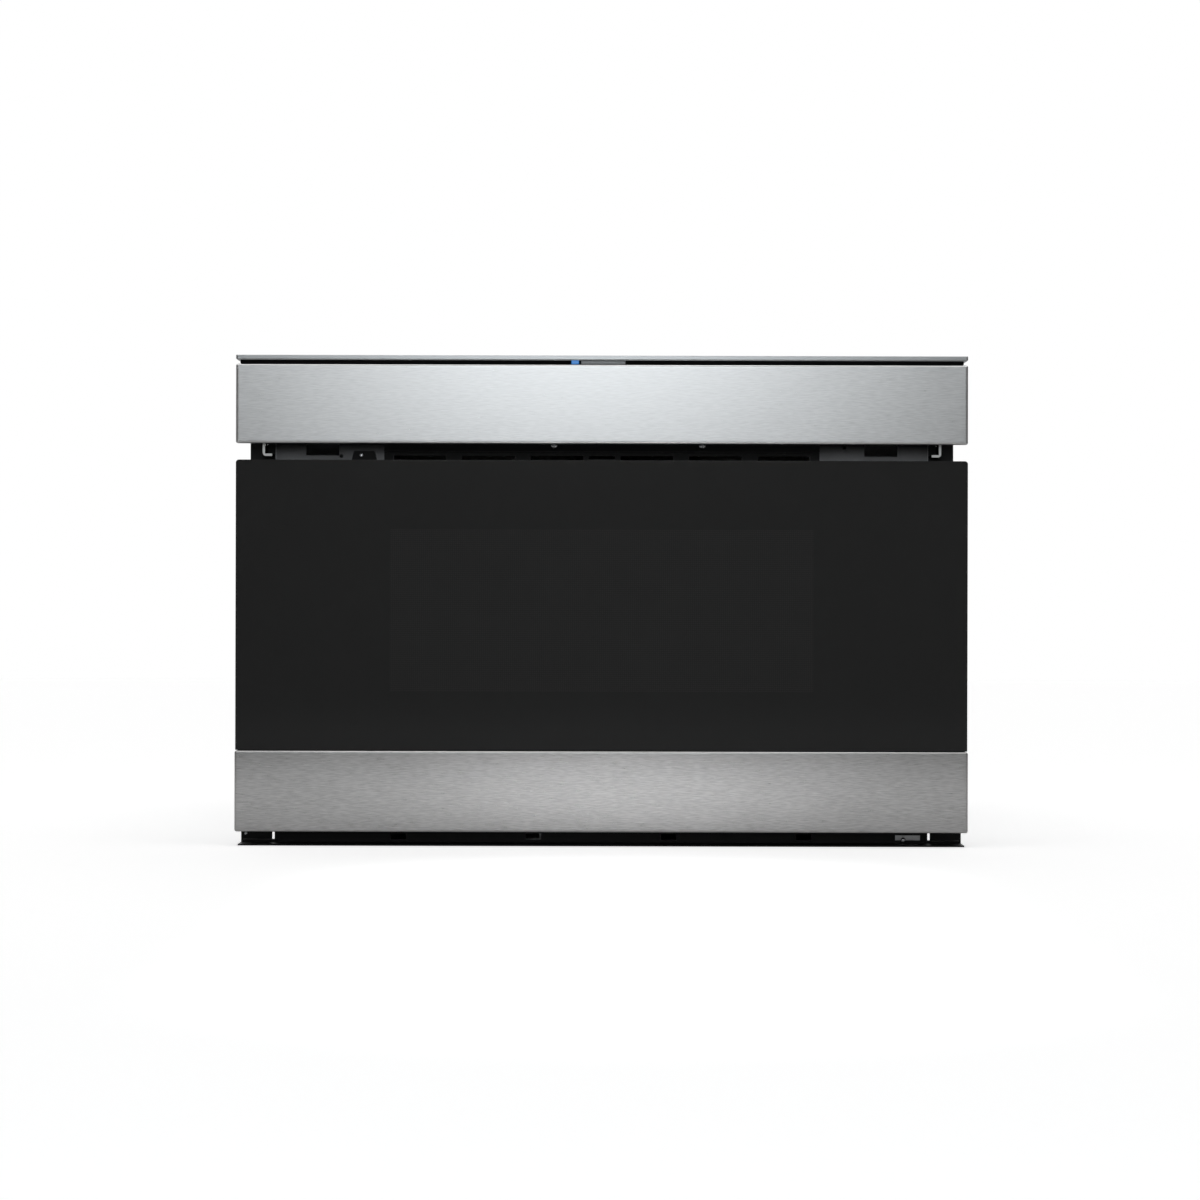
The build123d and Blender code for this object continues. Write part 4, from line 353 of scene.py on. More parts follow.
def add_dots(material, settings, plain, dotted, low=None, high=None):
    """Mixes two base colours by the dots, which can be kept inside a rectangle (x, z) of the wall."""
    tree = material.node_tree
    node = tree.nodes.new("ShaderNodeGroup")
    node.node_tree = dots
    for socket, value in settings.items():
        node.inputs[socket].default_value = value
    mask = node.outputs["Dot"]
    if low:
        place = tree.nodes.new("ShaderNodeSeparateXYZ")
        link(tree, tree.nodes.new("ShaderNodeTexCoord").outputs["Object"], place.inputs[0])
        for axis, start, end in (("X", low[0], high[0]), ("Z", low[1], high[1])):
            for test, edge in (("GREATER_THAN", start), ("LESS_THAN", end)):
                inside = math_node(tree, test, place.outputs[axis], edge)
                mask = math_node(tree, "MULTIPLY", mask, inside)
    mix = tree.nodes.new("ShaderNodeMix")
    mix.data_type = "RGBA"
    mix.inputs["A"].default_value = (*plain, 1)
    mix.inputs["B"].default_value = (*dotted, 1)
    link(tree, mask, mix.inputs["Factor"])
    link(tree, mix.outputs["Result"], tree.nodes["Principled BSDF"].inputs["Base Color"])


# %% [markdown]
# One finish for each material slot of the record, apart from the stainless sheets, which come after.
# Zinc and other bare metal is metallic, with its pattern in colour and roughness. Printed glass could
# be a clear pane over black ink, but nothing shows through it, so it is a black base under a clear
# gloss.

# %% The finishes: metals
# name, colour, roughness, metallic, pattern, tint, swing
finishes = {
    "galvanised": finish("galvanised", (0.6, 0.61, 0.62), 0.36, 1.0, crystals(110.0, 1.0), 0.14, 0.12),
    "rail_zinc": finish("bright_zinc", (0.66, 0.67, 0.69), 0.24, 1.0, specks(300.0, 1.2), 0.05, 0.08),
    "gear_steel": finish("gear_steel", (0.45, 0.45, 0.46), 0.35, 1.0, specks(1500.0, 1.2), 0.2, 0.2),
    "stirrer_metal": finish(
        "bare_aluminium", (0.77, 0.78, 0.79), 0.3, 1.0, brushed(700.0, 1.2), 0.08, 0.15
    ),
    "tube_metal": finish("tube_paint", (0.5, 0.5, 0.49), 0.4, 0.5, specks(800.0, 1.0), 0.1, 0.15),
    "core_iron": finish("varnished_iron", (0.16, 0.13, 0.11), 0.45, 0.4, specks(1200.0, 1.4), 0.25, 0.2),
}
print(len(finishes), "metals")

# %% The finishes: paint, glass and plastic
PRINT_BLACK = [0.034] * 3
WINDOW_GREY = [0.044] * 3
DULL = {"Specular_IOR_Level": 0.25}
FAINT = {"Specular_IOR_Level": 0.12}
CLEAR = {"Transmission_Weight": 1.0, "IOR": 1.45}
LIT_BLUE = {"Emission_Strength": 0.9, "Emission_Color": (0.03, 0.18, 0.5, 1)}
LIT_WHITE = {"Emission_Strength": 0.15, "Emission_Color": (1, 1, 1, 1)}
SMUDGES = specks(60.0, 1.0)  # where a cloth has wiped the glass, its gloss varies a little
finishes |= {
    "black_glass": finish("black_glass", PRINT_BLACK, 0.07, 0.0, SMUDGES, swing=0.02, **FAINT),
    "touch_glass": finish("touch_glass", (0.008, 0.008, 0.009), 0.08, 0.0, SMUDGES, swing=0.06),
    "clear_glass": finish("clear_glass", (0.75, 0.8, 0.78), 0.05, 0.0, SMUDGES, swing=0.03, **CLEAR),
    "ceramic_glass": finish("ceramic_glass", (0.62, 0.62, 0.6), 0.12, 0.0, specks(700.0, 1.0), 0.06, 0.1),
    "black_plastic": finish(
        "black_plastic", (0.007, 0.007, 0.0075), 0.5, 0.0, specks(2500.0, 1.0), 0.3, 0.15, **DULL
    ),
    "black_paint": finish(
        "black_paint", (0.008, 0.008, 0.0085), 0.42, 0.0, specks(1600.0, 1.0), 0.3, 0.12, **DULL
    ),
    "enamel": finish("grey_enamel", (0.47, 0.48, 0.49), 0.22, 0.0, specks(1200.0, 1.2), 0.12, 0.1),
    "white_nylon": finish("white_nylon", (0.78, 0.78, 0.75), 0.4, 0.0, specks(1800.0, 1.0), 0.05, 0.1, 0.1),
    "grey_plastic": finish(
        "grey_plastic", (0.3, 0.31, 0.32), 0.45, 0.0, specks(2000.0, 1.0), 0.1, 0.12, bump=0.12
    ),
    "silver_plastic": finish("silver_plastic", (0.3, 0.31, 0.32), 0.4, 0.4, brushed(900.0, 1.0), 0.06, 0.1),
    "board": finish("green_board", (0.05, 0.22, 0.1), 0.4, 0.0, specks(600.0, 1.0), 0.15, 0.1),
    "blue_lens": finish(
        "blue_lens", (0.02, 0.07, 0.2), 0.25, 0.0, specks(900.0, 1.0), 0.1, 0.1, **LIT_BLUE
    ),
    "white_ink": finish(
        "white_ink", (0.75, 0.76, 0.78), 0.5, 0.0, specks(3000.0, 1.0), 0.04, 0.1, **LIT_WHITE
    ),
}
print(len(finishes), "finishes for slots")

# %% [markdown]
# Some pieces differ from the rest of their slot. The three stainless sheets are one steel given a colour
# each
# for the light it catches: the strip's is painted lighter, painted light, and the trim's darker, painted
# shade. The grille and the housing lie in the shade of the gaps, and the housing's black is painted darker
# still, painted shade, as is the front plate's zinc. The flap's brackets are painted near black, painted
# shade, all but the sheared edge in front, and the beads carry a painted highlight. A slot is one finish in
# the record, so these are laid over it here, by piece.

# %% Finishes of single pieces
STEEL = (0.65, 0.65, 0.65)
# the strip's steel is painted lighter than the flap's: painted light
FASCIA_STEEL_PAINTED_LIGHT = (0.725, 0.715, 0.71)
SCREEN_GREY = (0.4, 0.4, 0.41)
SCREEN_HOLE = (0.01, 0.01, 0.01)
special = {
    "flap_face": finish("flap_steel", STEEL, 0.3, 1.0, brushed(1900.0, 2.4), 0.1, 0.04),
    "lower_fascia": finish("fascia_steel_painted_light", FASCIA_STEEL_PAINTED_LIGHT, 0.3, 1.0, brushed(1900.0, 2.2), 0.18, 0.06),
    # the trim's steel is painted darker than the flap's: painted shade
    "top_trim": finish("trim_steel_painted_shade", (0.46, 0.47, 0.475), 0.3, 1.0, brushed(1100.0, 1.4), 0.1, 0.04),
    # the front plate's zinc is painted darker than the galvanised slot: painted shade of the gap it lies in
    "front_plate": finish("zinc_painted_shade", (0.23, 0.23, 0.235), 0.5, 1.0, crystals(110.0, 1.0), 0.1, 0.1),
    "window_screen": finish("pierced_screen", SCREEN_GREY, 0.4, 1.0, specks(1500.0, 1.0), swing=0.15),
    "air_grille": finish(
        "grille_plastic", (0.007, 0.007, 0.0073), 0.5, 0.0, specks(2500.0, 1.0), 0.3, 0.1, **DULL
    ),
    # the housing's black is painted darker than the black plastic: painted shade of the slot over the flap
    "control_housing": finish(
        "housing_plastic_painted_shade", (0.002, 0.002, 0.0022), 0.6, 0.0, specks(2500.0, 1.0), 0.3, 0.15,
        Specular_IOR_Level=0.08,
    ),
    # the beads' paint is painted grey, lighter than the black paint: a painted highlight
    "bead": finish("bead_paint_painted_highlight", (0.03, 0.03, 0.031), 0.3, 0.0, specks(1600.0, 1.0), 0.3, 0.12),
    # the brackets' steel is painted near black behind its front edge: painted shade
    "flap_bracket_left": finish(
        "bracket_steel_painted_shade", (0.6, 0.6, 0.59), 0.36, 1.0, specks(1500.0, 1.0), 0.1, 0.1,
        Specular_IOR_Level=0.0,
    ),
}
special["flap_bracket_right"] = special["flap_bracket_left"]
print(len(special), "finishes for single pieces")

# %% What changes over one piece
PAINTED_SHADE_DEPTH = 17.5 * MM  # from the front to just behind the brackets' sheared edge
WINDOW_BORDER = 8 * MM  # of the pane behind, hidden by its frame
fascia_low, fascia_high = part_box("lower_fascia")
flap_low, flap_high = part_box("flap_face")
# painted sheen on the flap and the strip, and the flap's painted shadow on the front plate
PAINTED_FADES = {  # brightest height, half height, depth
    "flap_face": (flap_high.z, flap_high.z - flap_low.z, 0.07),
    "lower_fascia": (40 * MM, 40 * MM, 0.4),
    "front_plate": (318 * MM, 16 * MM, 0.94),
}
for name, (centre, half, depth) in PAINTED_FADES.items():
    add_painted_fade(special[name], centre, half, depth)
add_painted_shade_behind_edge(special["flap_bracket_left"], FRONT_Y + PAINTED_SHADE_DEPTH)
window_low, window_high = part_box("inner_window")
add_dots(
    finishes["black_glass"], {"Pitch": 1.6 * MM, "Radius": 0.36}, PRINT_BLACK, WINDOW_GREY,
    (window_low.x + WINDOW_BORDER, window_low.z + WINDOW_BORDER),
    (window_high.x - WINDOW_BORDER, window_high.z - WINDOW_BORDER),
)
add_dots(special["window_screen"], {"Pitch": 2.4 * MM, "Radius": 0.33}, SCREEN_GREY, SCREEN_HOLE)
print(len(PAINTED_FADES), "fades, window", round((window_high.x - window_low.x) / MM), "mm wide")

# %% The finishes go on the nodes
slot_of = {entry["node"]: entry["material_slot"] for entry in frame["record"]["subparts"]}
for name, node in nodes.items():
    material = special[name] if name in special else finishes[slot_of[name]]
    if not node.data.materials:
        node.data.materials.append(material)
    for slot in node.material_slots:
        slot.material = material
print(len(finishes) + len(special), "finishes on", len(nodes), "nodes")

# %% [markdown]
# The flap and the strip under the glass are pressed from one millimetre stainless sheet: a flat face, a
# tight bend all round and a short return. A box with a Bevel modifier would give the outside, but not
# the sheet's own thickness. So the shell is one profile, from the face over the bend to the return's
# edge and back along the inside, carried round a rounded rectangle.

# %% Rings of a rounded rectangle
ARC_STEPS = 6
SMALLEST_RADIUS = 0.02 * MM
STEP_WIDTH = 0.05 * MM  # between the two points that carry a step in a side


def rounded_outline(half_x, half_z, radius, inset, step_z=None):
    """Points of a rounded rectangle, drawn inset by a distance: each corner's arc keeps its centre until
    the inset reaches the radius. A pair of radii is for the two low corners and the two high ones. step_z
    adds two points, close together, on each side at that height."""
    low_radius, high_radius = np.broadcast_to(radius, 2)
    quarter = np.linspace(0, np.pi / 2, ARC_STEPS + 1)
    parts = []
    for turn, (sx, sz) in enumerate(((1, -1), (1, 1), (-1, 1), (-1, -1))):
        r = max((low_radius if sz < 0 else high_radius) - inset, SMALLEST_RADIUS)
        cx, cz = half_x - inset - r, half_z - inset - r
        angle = quarter + (turn - 1) * np.pi / 2
        parts.append(np.column_stack([sx * cx + r * np.cos(angle), sz * cz + r * np.sin(angle)]))
        if step_z is not None and turn in (0, 2):
            side = sx * (half_x - inset)
            pair = np.array([[side, step_z], [side, step_z + STEP_WIDTH]])
            parts.append(pair if turn == 0 else pair[::-1])
    return np.vstack(parts)


def ring_faces(rings, count):
    """Quads between successive rings of count points each, for rings that widen anticlockwise."""
    ring = np.arange(rings - 1)[:, None] * count
    here = np.arange(count)[None, :]
    after = (here + 1) % count
    quads = np.stack([ring + here, ring + count + here, ring + count + after, ring + after], axis=-1)
    return quads.reshape(-1, 4)


def closed_piece(name, rings, sharp=35):
    """A piece from a list of rings, closed by a flat face over the first ring and one over the last."""
    count = len(rings[0])
    faces = ring_faces(len(rings), count).tolist()
    faces.append(list(range(count)))
    faces.append([(len(rings) - 1) * count + k for k in reversed(range(count))])
    return add_piece(name, np.vstack(rings), faces, sharp=sharp)


# %% Pressed sheet
SUPPORT = 1.0 * MM  # flat ring inside the bend, which keeps the face's shading flat


def pressed_sheet(name, low, high, corner, bend, sheet, reach, top_reach=None):
    """A pressed panel between two corners of its box. Along the profile the inset d and the depth y
    follow d = bend (1 - sin t), y = bend (1 - cos t) round the bend, then straight back for the reach.
    The return along the top can have a reach of its own."""
    half_x, half_z = (high[0] - low[0]) / 2, (high[2] - low[2]) / 2
    middle_x, middle_z = (high[0] + low[0]) / 2, (high[2] + low[2]) / 2
    t = np.linspace(0, np.pi / 2, ARC_STEPS + 1)
    back, inner = t[::-1], bend - sheet
    outside = [(bend + SUPPORT, 0)] + list(zip(bend * (1 - np.sin(t)), bend * (1 - np.cos(t))))
    inside = list(zip(bend - inner * np.sin(back), bend - inner * np.cos(back)))
    profile = outside + [(0, None), (sheet, None)] + inside + [(bend + SUPPORT, sheet)]
    step_z = half_z - bend - sheet if top_reach else None
    rings = []
    for inset, depth in profile:
        outline = rounded_outline(half_x, half_z, corner, inset, step_z)
        if depth is None:
            depth = np.full(len(outline), reach)
            if top_reach:
                depth[outline[:, 1] > step_z + STEP_WIDTH / 2] = top_reach
        ring = np.empty((len(outline), 3))
        ring[:, 0] = outline[:, 0] + middle_x
        ring[:, 1] = low[1] + depth
        ring[:, 2] = outline[:, 1] + middle_z
        rings.append(ring)
    return closed_piece(name, rings)


# %% The flap's shell and the strip's
SHEET = 1.0 * MM
BEND = 1.6 * MM
FLAP_CORNER = 1.6 * MM
FASCIA_CORNER = 1.8 * MM
FASCIA_TOP_RETURN = 4.2 * MM
reach = flap_high.y - flap_low.y
flap_shell = pressed_sheet("flap_shell", flap_low, flap_high, FLAP_CORNER, BEND, SHEET, reach)
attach(flap_shell, "flap")
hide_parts("flap_face")
flap_shell.data.materials.append(special["flap_face"])

reach = fascia_high.y - fascia_low.y
fascia_shell = pressed_sheet(
    "fascia_shell", fascia_low, fascia_high, FASCIA_CORNER, BEND, SHEET, reach, FASCIA_TOP_RETURN
)
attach(fascia_shell, "drawer")
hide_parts("lower_fascia")
fascia_shell.data.materials.append(special["lower_fascia"])
print("pressed panels:", len(flap_shell.data.polygons), "and", len(fascia_shell.data.polygons), "faces")

# %% [markdown]
# The glass and the trim over the flap are solid. A Bevel modifier would round all their corners alike,
# but the glass has two nearly square corners, and the trim a soft upper edge over a lower one that is
# cut back. So each is a stack of rounded rectangles.

# %% Stacks of rounded rectangles
def rounded_edge(radius):
    """Pairs of (inset, depth) round an edge: inset = radius (1 - sin t), depth = radius (1 - cos t)."""
    t = np.linspace(0, np.pi / 2, ARC_STEPS + 1)
    return list(zip(radius * (1 - np.sin(t)), radius * (1 - np.cos(t))))


def stacked_rings(low, high, corner, profile, along):
    """Rounded rectangles that fill a box, one for each (inset, level) of the profile. Levels run along
    axis 1 for a panel that faces the front, and along axis 2, from the top down, for one that lies flat."""
    across = 2 if along == 1 else 1
    half, middle = (np.array(high) - np.array(low)) / 2, (np.array(high) + np.array(low)) / 2
    rings = []
    for inset, level in profile:
        outline = rounded_outline(half[0], half[across], corner, inset)
        ring = np.full((len(outline), 3), level)
        ring[:, 0] = outline[:, 0] + middle[0]
        ring[:, across] = outline[:, 1] + middle[across]
        rings.append(ring)
    return rings


# %% The glass pane
GROUND_EDGE = 0.25 * MM
RIM = 0.1 * MM  # flat ring beside the ground edge, which keeps its shading off the face
PANE_CORNERS = (0.6 * MM, 2.5 * MM)  # low and high
pane_low, pane_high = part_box("front_glass")
ground = rounded_edge(GROUND_EDGE)
profile = [(GROUND_EDGE + RIM, pane_low.y)] + [(inset, pane_low.y + depth) for inset, depth in ground]
profile += [(inset, pane_high.y - depth) for inset, depth in reversed(ground)]
profile.append((GROUND_EDGE + RIM, pane_high.y))
glass_pane = closed_piece("glass_pane", stacked_rings(pane_low, pane_high, PANE_CORNERS, profile, 1))
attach(glass_pane, "drawer")
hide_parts("front_glass")
glass_pane.data.materials.append(finishes["black_glass"])
print("glass pane:", len(glass_pane.data.polygons), "faces")

# %% The top trim
TRIM_EDGE = 0.5 * MM
UNDERCUT = 0.9 * MM
TRIM_CORNERS = (1.5 * MM, 0.1 * MM)  # front and back
TRIM_SHARP = 5  # degrees; every step of the edge stays crisp, which keeps the long front face flat
trim_low, trim_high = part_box("top_trim")
profile = [(TRIM_EDGE + SUPPORT, trim_high.z)]
profile += [(inset, trim_high.z - depth) for inset, depth in rounded_edge(TRIM_EDGE)]
profile += [(0, trim_low.z + UNDERCUT), (UNDERCUT, trim_low.z), (UNDERCUT + SUPPORT, trim_low.z)]
rings = stacked_rings(trim_low, trim_high, TRIM_CORNERS, profile, 2)
trim_cap = closed_piece("trim_cap", rings, TRIM_SHARP)
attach(trim_cap, "chassis")
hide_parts("top_trim")
trim_cap.data.materials.append(special["top_trim"])
print("trim:", len(trim_cap.data.polygons), "faces")

# %% [markdown]
# Under the strip, the black foot of the case is stiffened by a round bead along each end of its web. A
# bead is a thin rod with domed ends, half sunk in the web. A circle carried along a line is the least
# that shows it.

# %% Beads of the bottom trim
BEAD_RADIUS = 0.8 * MM
BEAD_Z = 2.9 * MM
BEAD_INNER, BEAD_OUTER = 271.0 * MM, 299.5 * MM
WEB_SHEET = 1.5 * MM
DOME_START = 0.15  # radians; leaves a small flat on each end, so that no point closes it
web_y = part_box("bottom_trim")[1].y - WEB_SHEET


def rod_rings(x_high, x_low, y, z, radius, segments=12):
    """Rings of a rod along X with domed ends: at radius (1 - cos t) from an end, the rod is radius sin t
    thick."""
    t = np.linspace(DOME_START, np.pi / 2, 4)
    dome = list(zip(radius * (1 - np.cos(t)), radius * np.sin(t)))
    stations = [(x_high - d, r) for d, r in dome] + [(x_low + d, r) for d, r in reversed(dome)]
    angle = np.arange(segments) * 2 * np.pi / segments
    circle = np.column_stack([np.zeros(segments), np.cos(angle), np.sin(angle)])
    return [np.array([x, y, z]) + r * circle for x, r in stations]


for side, x_low in (("left", -BEAD_OUTER), ("right", BEAD_INNER)):
    x_high = x_low + BEAD_OUTER - BEAD_INNER
    bead = closed_piece(f"trim_bead_{side}", rod_rings(x_high, x_low, web_y, BEAD_Z, BEAD_RADIUS), sharp=60)
    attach(bead, "chassis")
    bead.data.materials.append(special["bead"])
print("beads:", round((BEAD_OUTER - BEAD_INNER) / MM, 1), "mm long")

# %% [markdown]
# Screws are small, but a bare case without them looks unfinished. Cutting a cross into a turned head
# would take a Boolean for each, so one head is rings of points, whose radius follows the cross inside
# and a circle outside. Every screw of a panel is a copy of those points, turned to face the panel's own
# way, and all of them make one piece.

# %% One pan head
HEAD_SEGMENTS = 24
CROWN_STEPS = (0.35, 0.65, 0.85, 0.96, 1.0)  # from the cross out to the head's edge
CROSS_LENGTH, CROSS_WIDTH = 0.52, 0.14  # halves, as shares of the head's radius
TINY = 1e-9  # keeps a division by zero away
RECESS = 0.5  # how deep the cross is, as a share of the head's height
RECESS_FLOOR = 0.72  # the cross at its floor, as a share of the cross at the crown


def cross_radius(angle, half_length, half_width):
    """Distance from the centre to the edge of a plus sign in the direction of an angle."""
    u, v = np.abs(np.cos(angle)) + TINY, np.abs(np.sin(angle)) + TINY
    along_u = np.minimum(half_length / u, half_width / v)
    along_v = np.minimum(half_length / v, half_width / u)
    return np.maximum(along_u, along_v)


def pan_head(radius, height):
    """Points and faces of a head that stands on the plane w = 0. The crown's height is
    height * sqrt(1 - (r / radius)^4), and the recess has a flat floor."""
    angle = np.arange(HEAD_SEGMENTS) * 2 * np.pi / HEAD_SEGMENTS
    cross = cross_radius(angle, CROSS_LENGTH * radius, CROSS_WIDTH * radius)
    rings = [(RECESS_FLOOR * cross, RECESS * height), (cross, None)]
    for t in CROWN_STEPS:
        rings.append((cross + (radius - cross) * t, None))
    points = [np.array([[0, 0, RECESS * height]])]
    for r, w in rings:
        crown = height * np.sqrt(np.clip(1 - (r / radius) ** 4, 0, 1)) if w is None else np.full(len(r), w)
        points.append(np.column_stack([r * np.cos(angle), r * np.sin(angle), crown]))
    around = np.arange(HEAD_SEGMENTS)
    after = (around + 1) % HEAD_SEGMENTS
    hub = np.column_stack([np.zeros(HEAD_SEGMENTS, int), around + 1, after + 1])
    faces = hub.tolist() + (ring_faces(len(rings), HEAD_SEGMENTS) + 1).tolist()
    last = 1 + (len(rings) - 1) * HEAD_SEGMENTS
    faces.append([last + k for k in reversed(range(HEAD_SEGMENTS))])
    return np.vstack(points), faces


def screws(name, body, slot, places, facing, radius, height):
    """One piece of pan heads at the places, all on upright walls that face the same way."""
    head, faces = pan_head(radius, height)
    w = np.array(facing, float)
    u = np.array([0, 0, 1.0])
    v = np.cross(w, u)
    base = head @ np.array([u, v, w])
    points = np.vstack([base + np.array(place) for place in places])
    copies = [[k + n * len(head) for k in face] for n in range(len(places)) for face in faces]
    piece = add_piece(name, points, copies, sharp=40)
    piece.data.materials.append(finishes[slot])
    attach(piece, body)
    print(name, len(places))


# %% Rows and columns of screws
def grid(*axes):
    """Every combination of three lists of coordinates."""
    return np.array(np.meshgrid(*axes, indexing="ij"), float).reshape(3, -1).T


print(grid([0, 1], [0], [0, 1]).tolist())

# %% The screws of the case
SIDE_EDGE = 8 * MM
SIDE_MARGIN = 26 * MM
REAR_EDGE = 9 * MM
REAR_LOWEST, REAR_TOP_MARGIN = 34 * MM, 20 * MM
REAR_SPACING = 130 * MM
REAR_FOOT = 10 * MM
FAN_MARGIN = 8 * MM
REAR_HEAD = (3.6 * MM, 2.2 * MM)  # radius, height
SIDE_HEAD = (3.6 * MM, 2.0 * MM)
case_low, case_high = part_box("side_panel_left")
cover_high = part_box("top_cover")[1]
case_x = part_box("side_panel_right")[1].x
case_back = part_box("rear_panel")[1].y
fan_low, fan_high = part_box("fan_housing")
fan_x = (fan_low.x + FAN_MARGIN, fan_high.x - FAN_MARGIN)
fan_z = (fan_low.z + FAN_MARGIN, fan_high.z - FAN_MARGIN)
rear_x = (-case_x + REAR_EDGE, case_x - REAR_EDGE)
rear_rows = np.linspace(REAR_LOWEST, case_high.z - REAR_TOP_MARGIN, 3)
rear_places = np.vstack([
    grid(rear_x, [case_back], rear_rows),
    grid([-REAR_SPACING, 0, REAR_SPACING], [case_back], [REAR_FOOT, case_high.z - REAR_EDGE]),
    grid(fan_x, [case_back], fan_z),
])
screws("rear_screws", "chassis", "rail_zinc", rear_places, (0, 1, 0), *REAR_HEAD)

rail_low, rail_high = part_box("rail_outer_right")
rail_rows = (rail_low.y + rail_high.y) / 2 + np.array([-1, 0, 1]) * (rail_high.y - rail_low.y) / 3
rail_z = (rail_low.z + rail_high.z) / 2
panel_rows = np.linspace(case_low.y + SIDE_MARGIN, case_high.y - SIDE_MARGIN, 3)
for side, sign in (("left", -1), ("right", 1)):
    side_places = np.vstack([
        grid([sign * case_x], panel_rows, [SIDE_EDGE]),
        grid([sign * case_x], rail_rows, [rail_z]),
        grid([sign * cover_high.x], panel_rows, [cover_high.z - SIDE_EDGE]),
    ])
    screws(f"side_screws_{side}", "chassis", "rail_zinc", side_places, (sign, 0, 0), *SIDE_HEAD)

# %% The screws that the front shows
GRILLE_SCREW_X = (-39.9 * MM, 83.9 * MM)
GRILLE_WALL = 3.2 * MM  # from the grille's face to its back
GRILLE_DROP = 2.6 * MM  # from the grille's top to its screws
SENSOR_SCREW = (8 * MM, 4.4 * MM)  # from the sensor's low corner
grille_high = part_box("air_grille")[1]
grille_places = [(x, grille_high.y - GRILLE_WALL, grille_high.z - GRILLE_DROP) for x in GRILLE_SCREW_X]
sensor_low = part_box("position_sensor")[0]
sensor_place = (sensor_low.x + SENSOR_SCREW[0], sensor_low.y, sensor_low.z + SENSOR_SCREW[1])
FRONT_SCREWS = {  # places, radius, height
    "grille_screws": (grille_places, 3.3 * MM, 1.8 * MM),
    "sensor_screw": ([sensor_place], 2.0 * MM, 0.9 * MM),
    "trim_pin": ([(-296.8 * MM, web_y, 8.2 * MM)], 1.5 * MM, 0.8 * MM),
    "trim_screw": ([(252.9 * MM, web_y, 3.6 * MM)], 2.2 * MM, 1.2 * MM),
}
for name, (places, radius, height) in FRONT_SCREWS.items():
    screws(name, "chassis", "rail_zinc", places, (0, -1, 0), radius, height)

# %% The screws behind the drawer front
PANEL_HEAD = (3.4 * MM, 1.6 * MM)
PANEL_MARGIN = 16 * MM
PANEL_ROWS = (30 * MM, 165 * MM, 300 * MM)
FOOT_COLUMNS, FOOT_ROW = (-150 * MM, 0, 150 * MM), 40 * MM
panel_low, panel_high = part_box("inner_panel")
panel_x = (panel_low.x + PANEL_MARGIN, panel_high.x - PANEL_MARGIN)
inner_places = np.vstack([
    grid(panel_x, [panel_high.y], PANEL_ROWS),
    grid(FOOT_COLUMNS, [panel_high.y], [FOOT_ROW]),
])
screws("front_panel_screws", "drawer", "rail_zinc", inner_places, (0, 1, 0), *PANEL_HEAD)

# %% [markdown]
# The touch glass is on the back of the flap, and is read when the flap leans out. It carries plain
# numbers and signs. They could be painted on by a picture, but ink that is a thin mesh stays sharp from
# near by. Digits come from Blender's own text: a text object is turned into a mesh, and its points are
# then laid on the glass. The reader stands in front, so the print's right is +X and its top points down
# the closed flap.

# %% The print on the touch glass
PRINT_RISE = 0.04 * MM  # how far the ink stands on the glass
glass_low, glass_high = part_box("control_glass")
glass_z = (glass_low.z + glass_high.z) / 2


def lay_on_glass(points, x, up):
    """Moves flat points (right, up, rise) to the flap's glass, centred at x and up from its middle line."""
    laid = np.empty((len(points), 3))
    laid[:, 0] = x + points[:, 0]
    laid[:, 1] = glass_high.y + points[:, 2]
    laid[:, 2] = glass_z - up - points[:, 1]
    return laid


def text_mesh(letters, size):
    """Points and faces of a short text, centred, from a text object that is thrown away."""
    curve = bpy.data.curves.new("letters", "FONT")
    curve.body = letters
    curve.size = size
    curve.align_x = "CENTER"
    curve.align_y = "CENTER"
    curve.extrude = PRINT_RISE / 2
    holder = bpy.data.objects.new("letters", curve)
    mesh = bpy.data.meshes.new_from_object(holder)
    points = np.empty(len(mesh.vertices) * 3)
    mesh.vertices.foreach_get("co", points)
    faces = [list(p.vertices) for p in mesh.polygons]
    bpy.data.objects.remove(holder)
    bpy.data.curves.remove(curve)
    bpy.data.meshes.remove(mesh)
    points = points.reshape(-1, 3)
    points[:, 2] += PRINT_RISE / 2
    return points, faces


def prism(outline, rise):
    """A flat closed outline of (right, up) points, made rise thick."""
    outline = np.asarray(outline, float)
    count = len(outline)
    below = np.column_stack([outline, np.zeros(count)])
    points = np.vstack([below, below + (0, 0, rise)])
    faces = [list(reversed(range(count))), [count + k for k in range(count)]]
    faces += [[k, (k + 1) % count, count + (k + 1) % count, count + k] for k in range(count)]
    return points, faces


def join_shapes(shapes):
    """One array of points and one list of faces from several."""
    points, faces, start = [], [], 0
    for some_points, some_faces in shapes:
        points.append(some_points)
        faces += [[k + start for k in face] for face in some_faces]
        start += len(some_points)
    return np.vstack(points), faces


def printed(name, shapes, material):
    """One piece of print from shapes that already lie on the glass."""
    piece = add_piece(name, *join_shapes(shapes), smooth=False)
    piece.data.materials.append(material)
    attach(piece, "flap")
    print(name, len(shapes), "shapes")


# %% Digits
DIGIT_SIZE = 13 * MM
KEY_PITCH = 33 * MM
KEY_ROWS = (11.5 * MM, -11.5 * MM)
FIRST_DIGIT_X = 112 * MM
SIGN_X = -112 * MM
ink_shapes = []
for n, letters in enumerate("1234567890"):
    points, faces = text_mesh(letters, DIGIT_SIZE)
    x = FIRST_DIGIT_X + (n % 5) * KEY_PITCH
    ink_shapes.append((lay_on_glass(points, x, KEY_ROWS[n // 5]), faces))
print("digits:", len(ink_shapes))


# %% Signs, and the print as one piece
SIGN_HALF = 4.2 * MM  # half a sign's height
THIN = 1 / 6  # half a stroke, in half heights


def ring_outline(radius, segments):
    """Points of a regular polygon."""
    angle = np.arange(segments) * 2 * np.pi / segments
    return np.column_stack([radius * np.cos(angle), radius * np.sin(angle)])


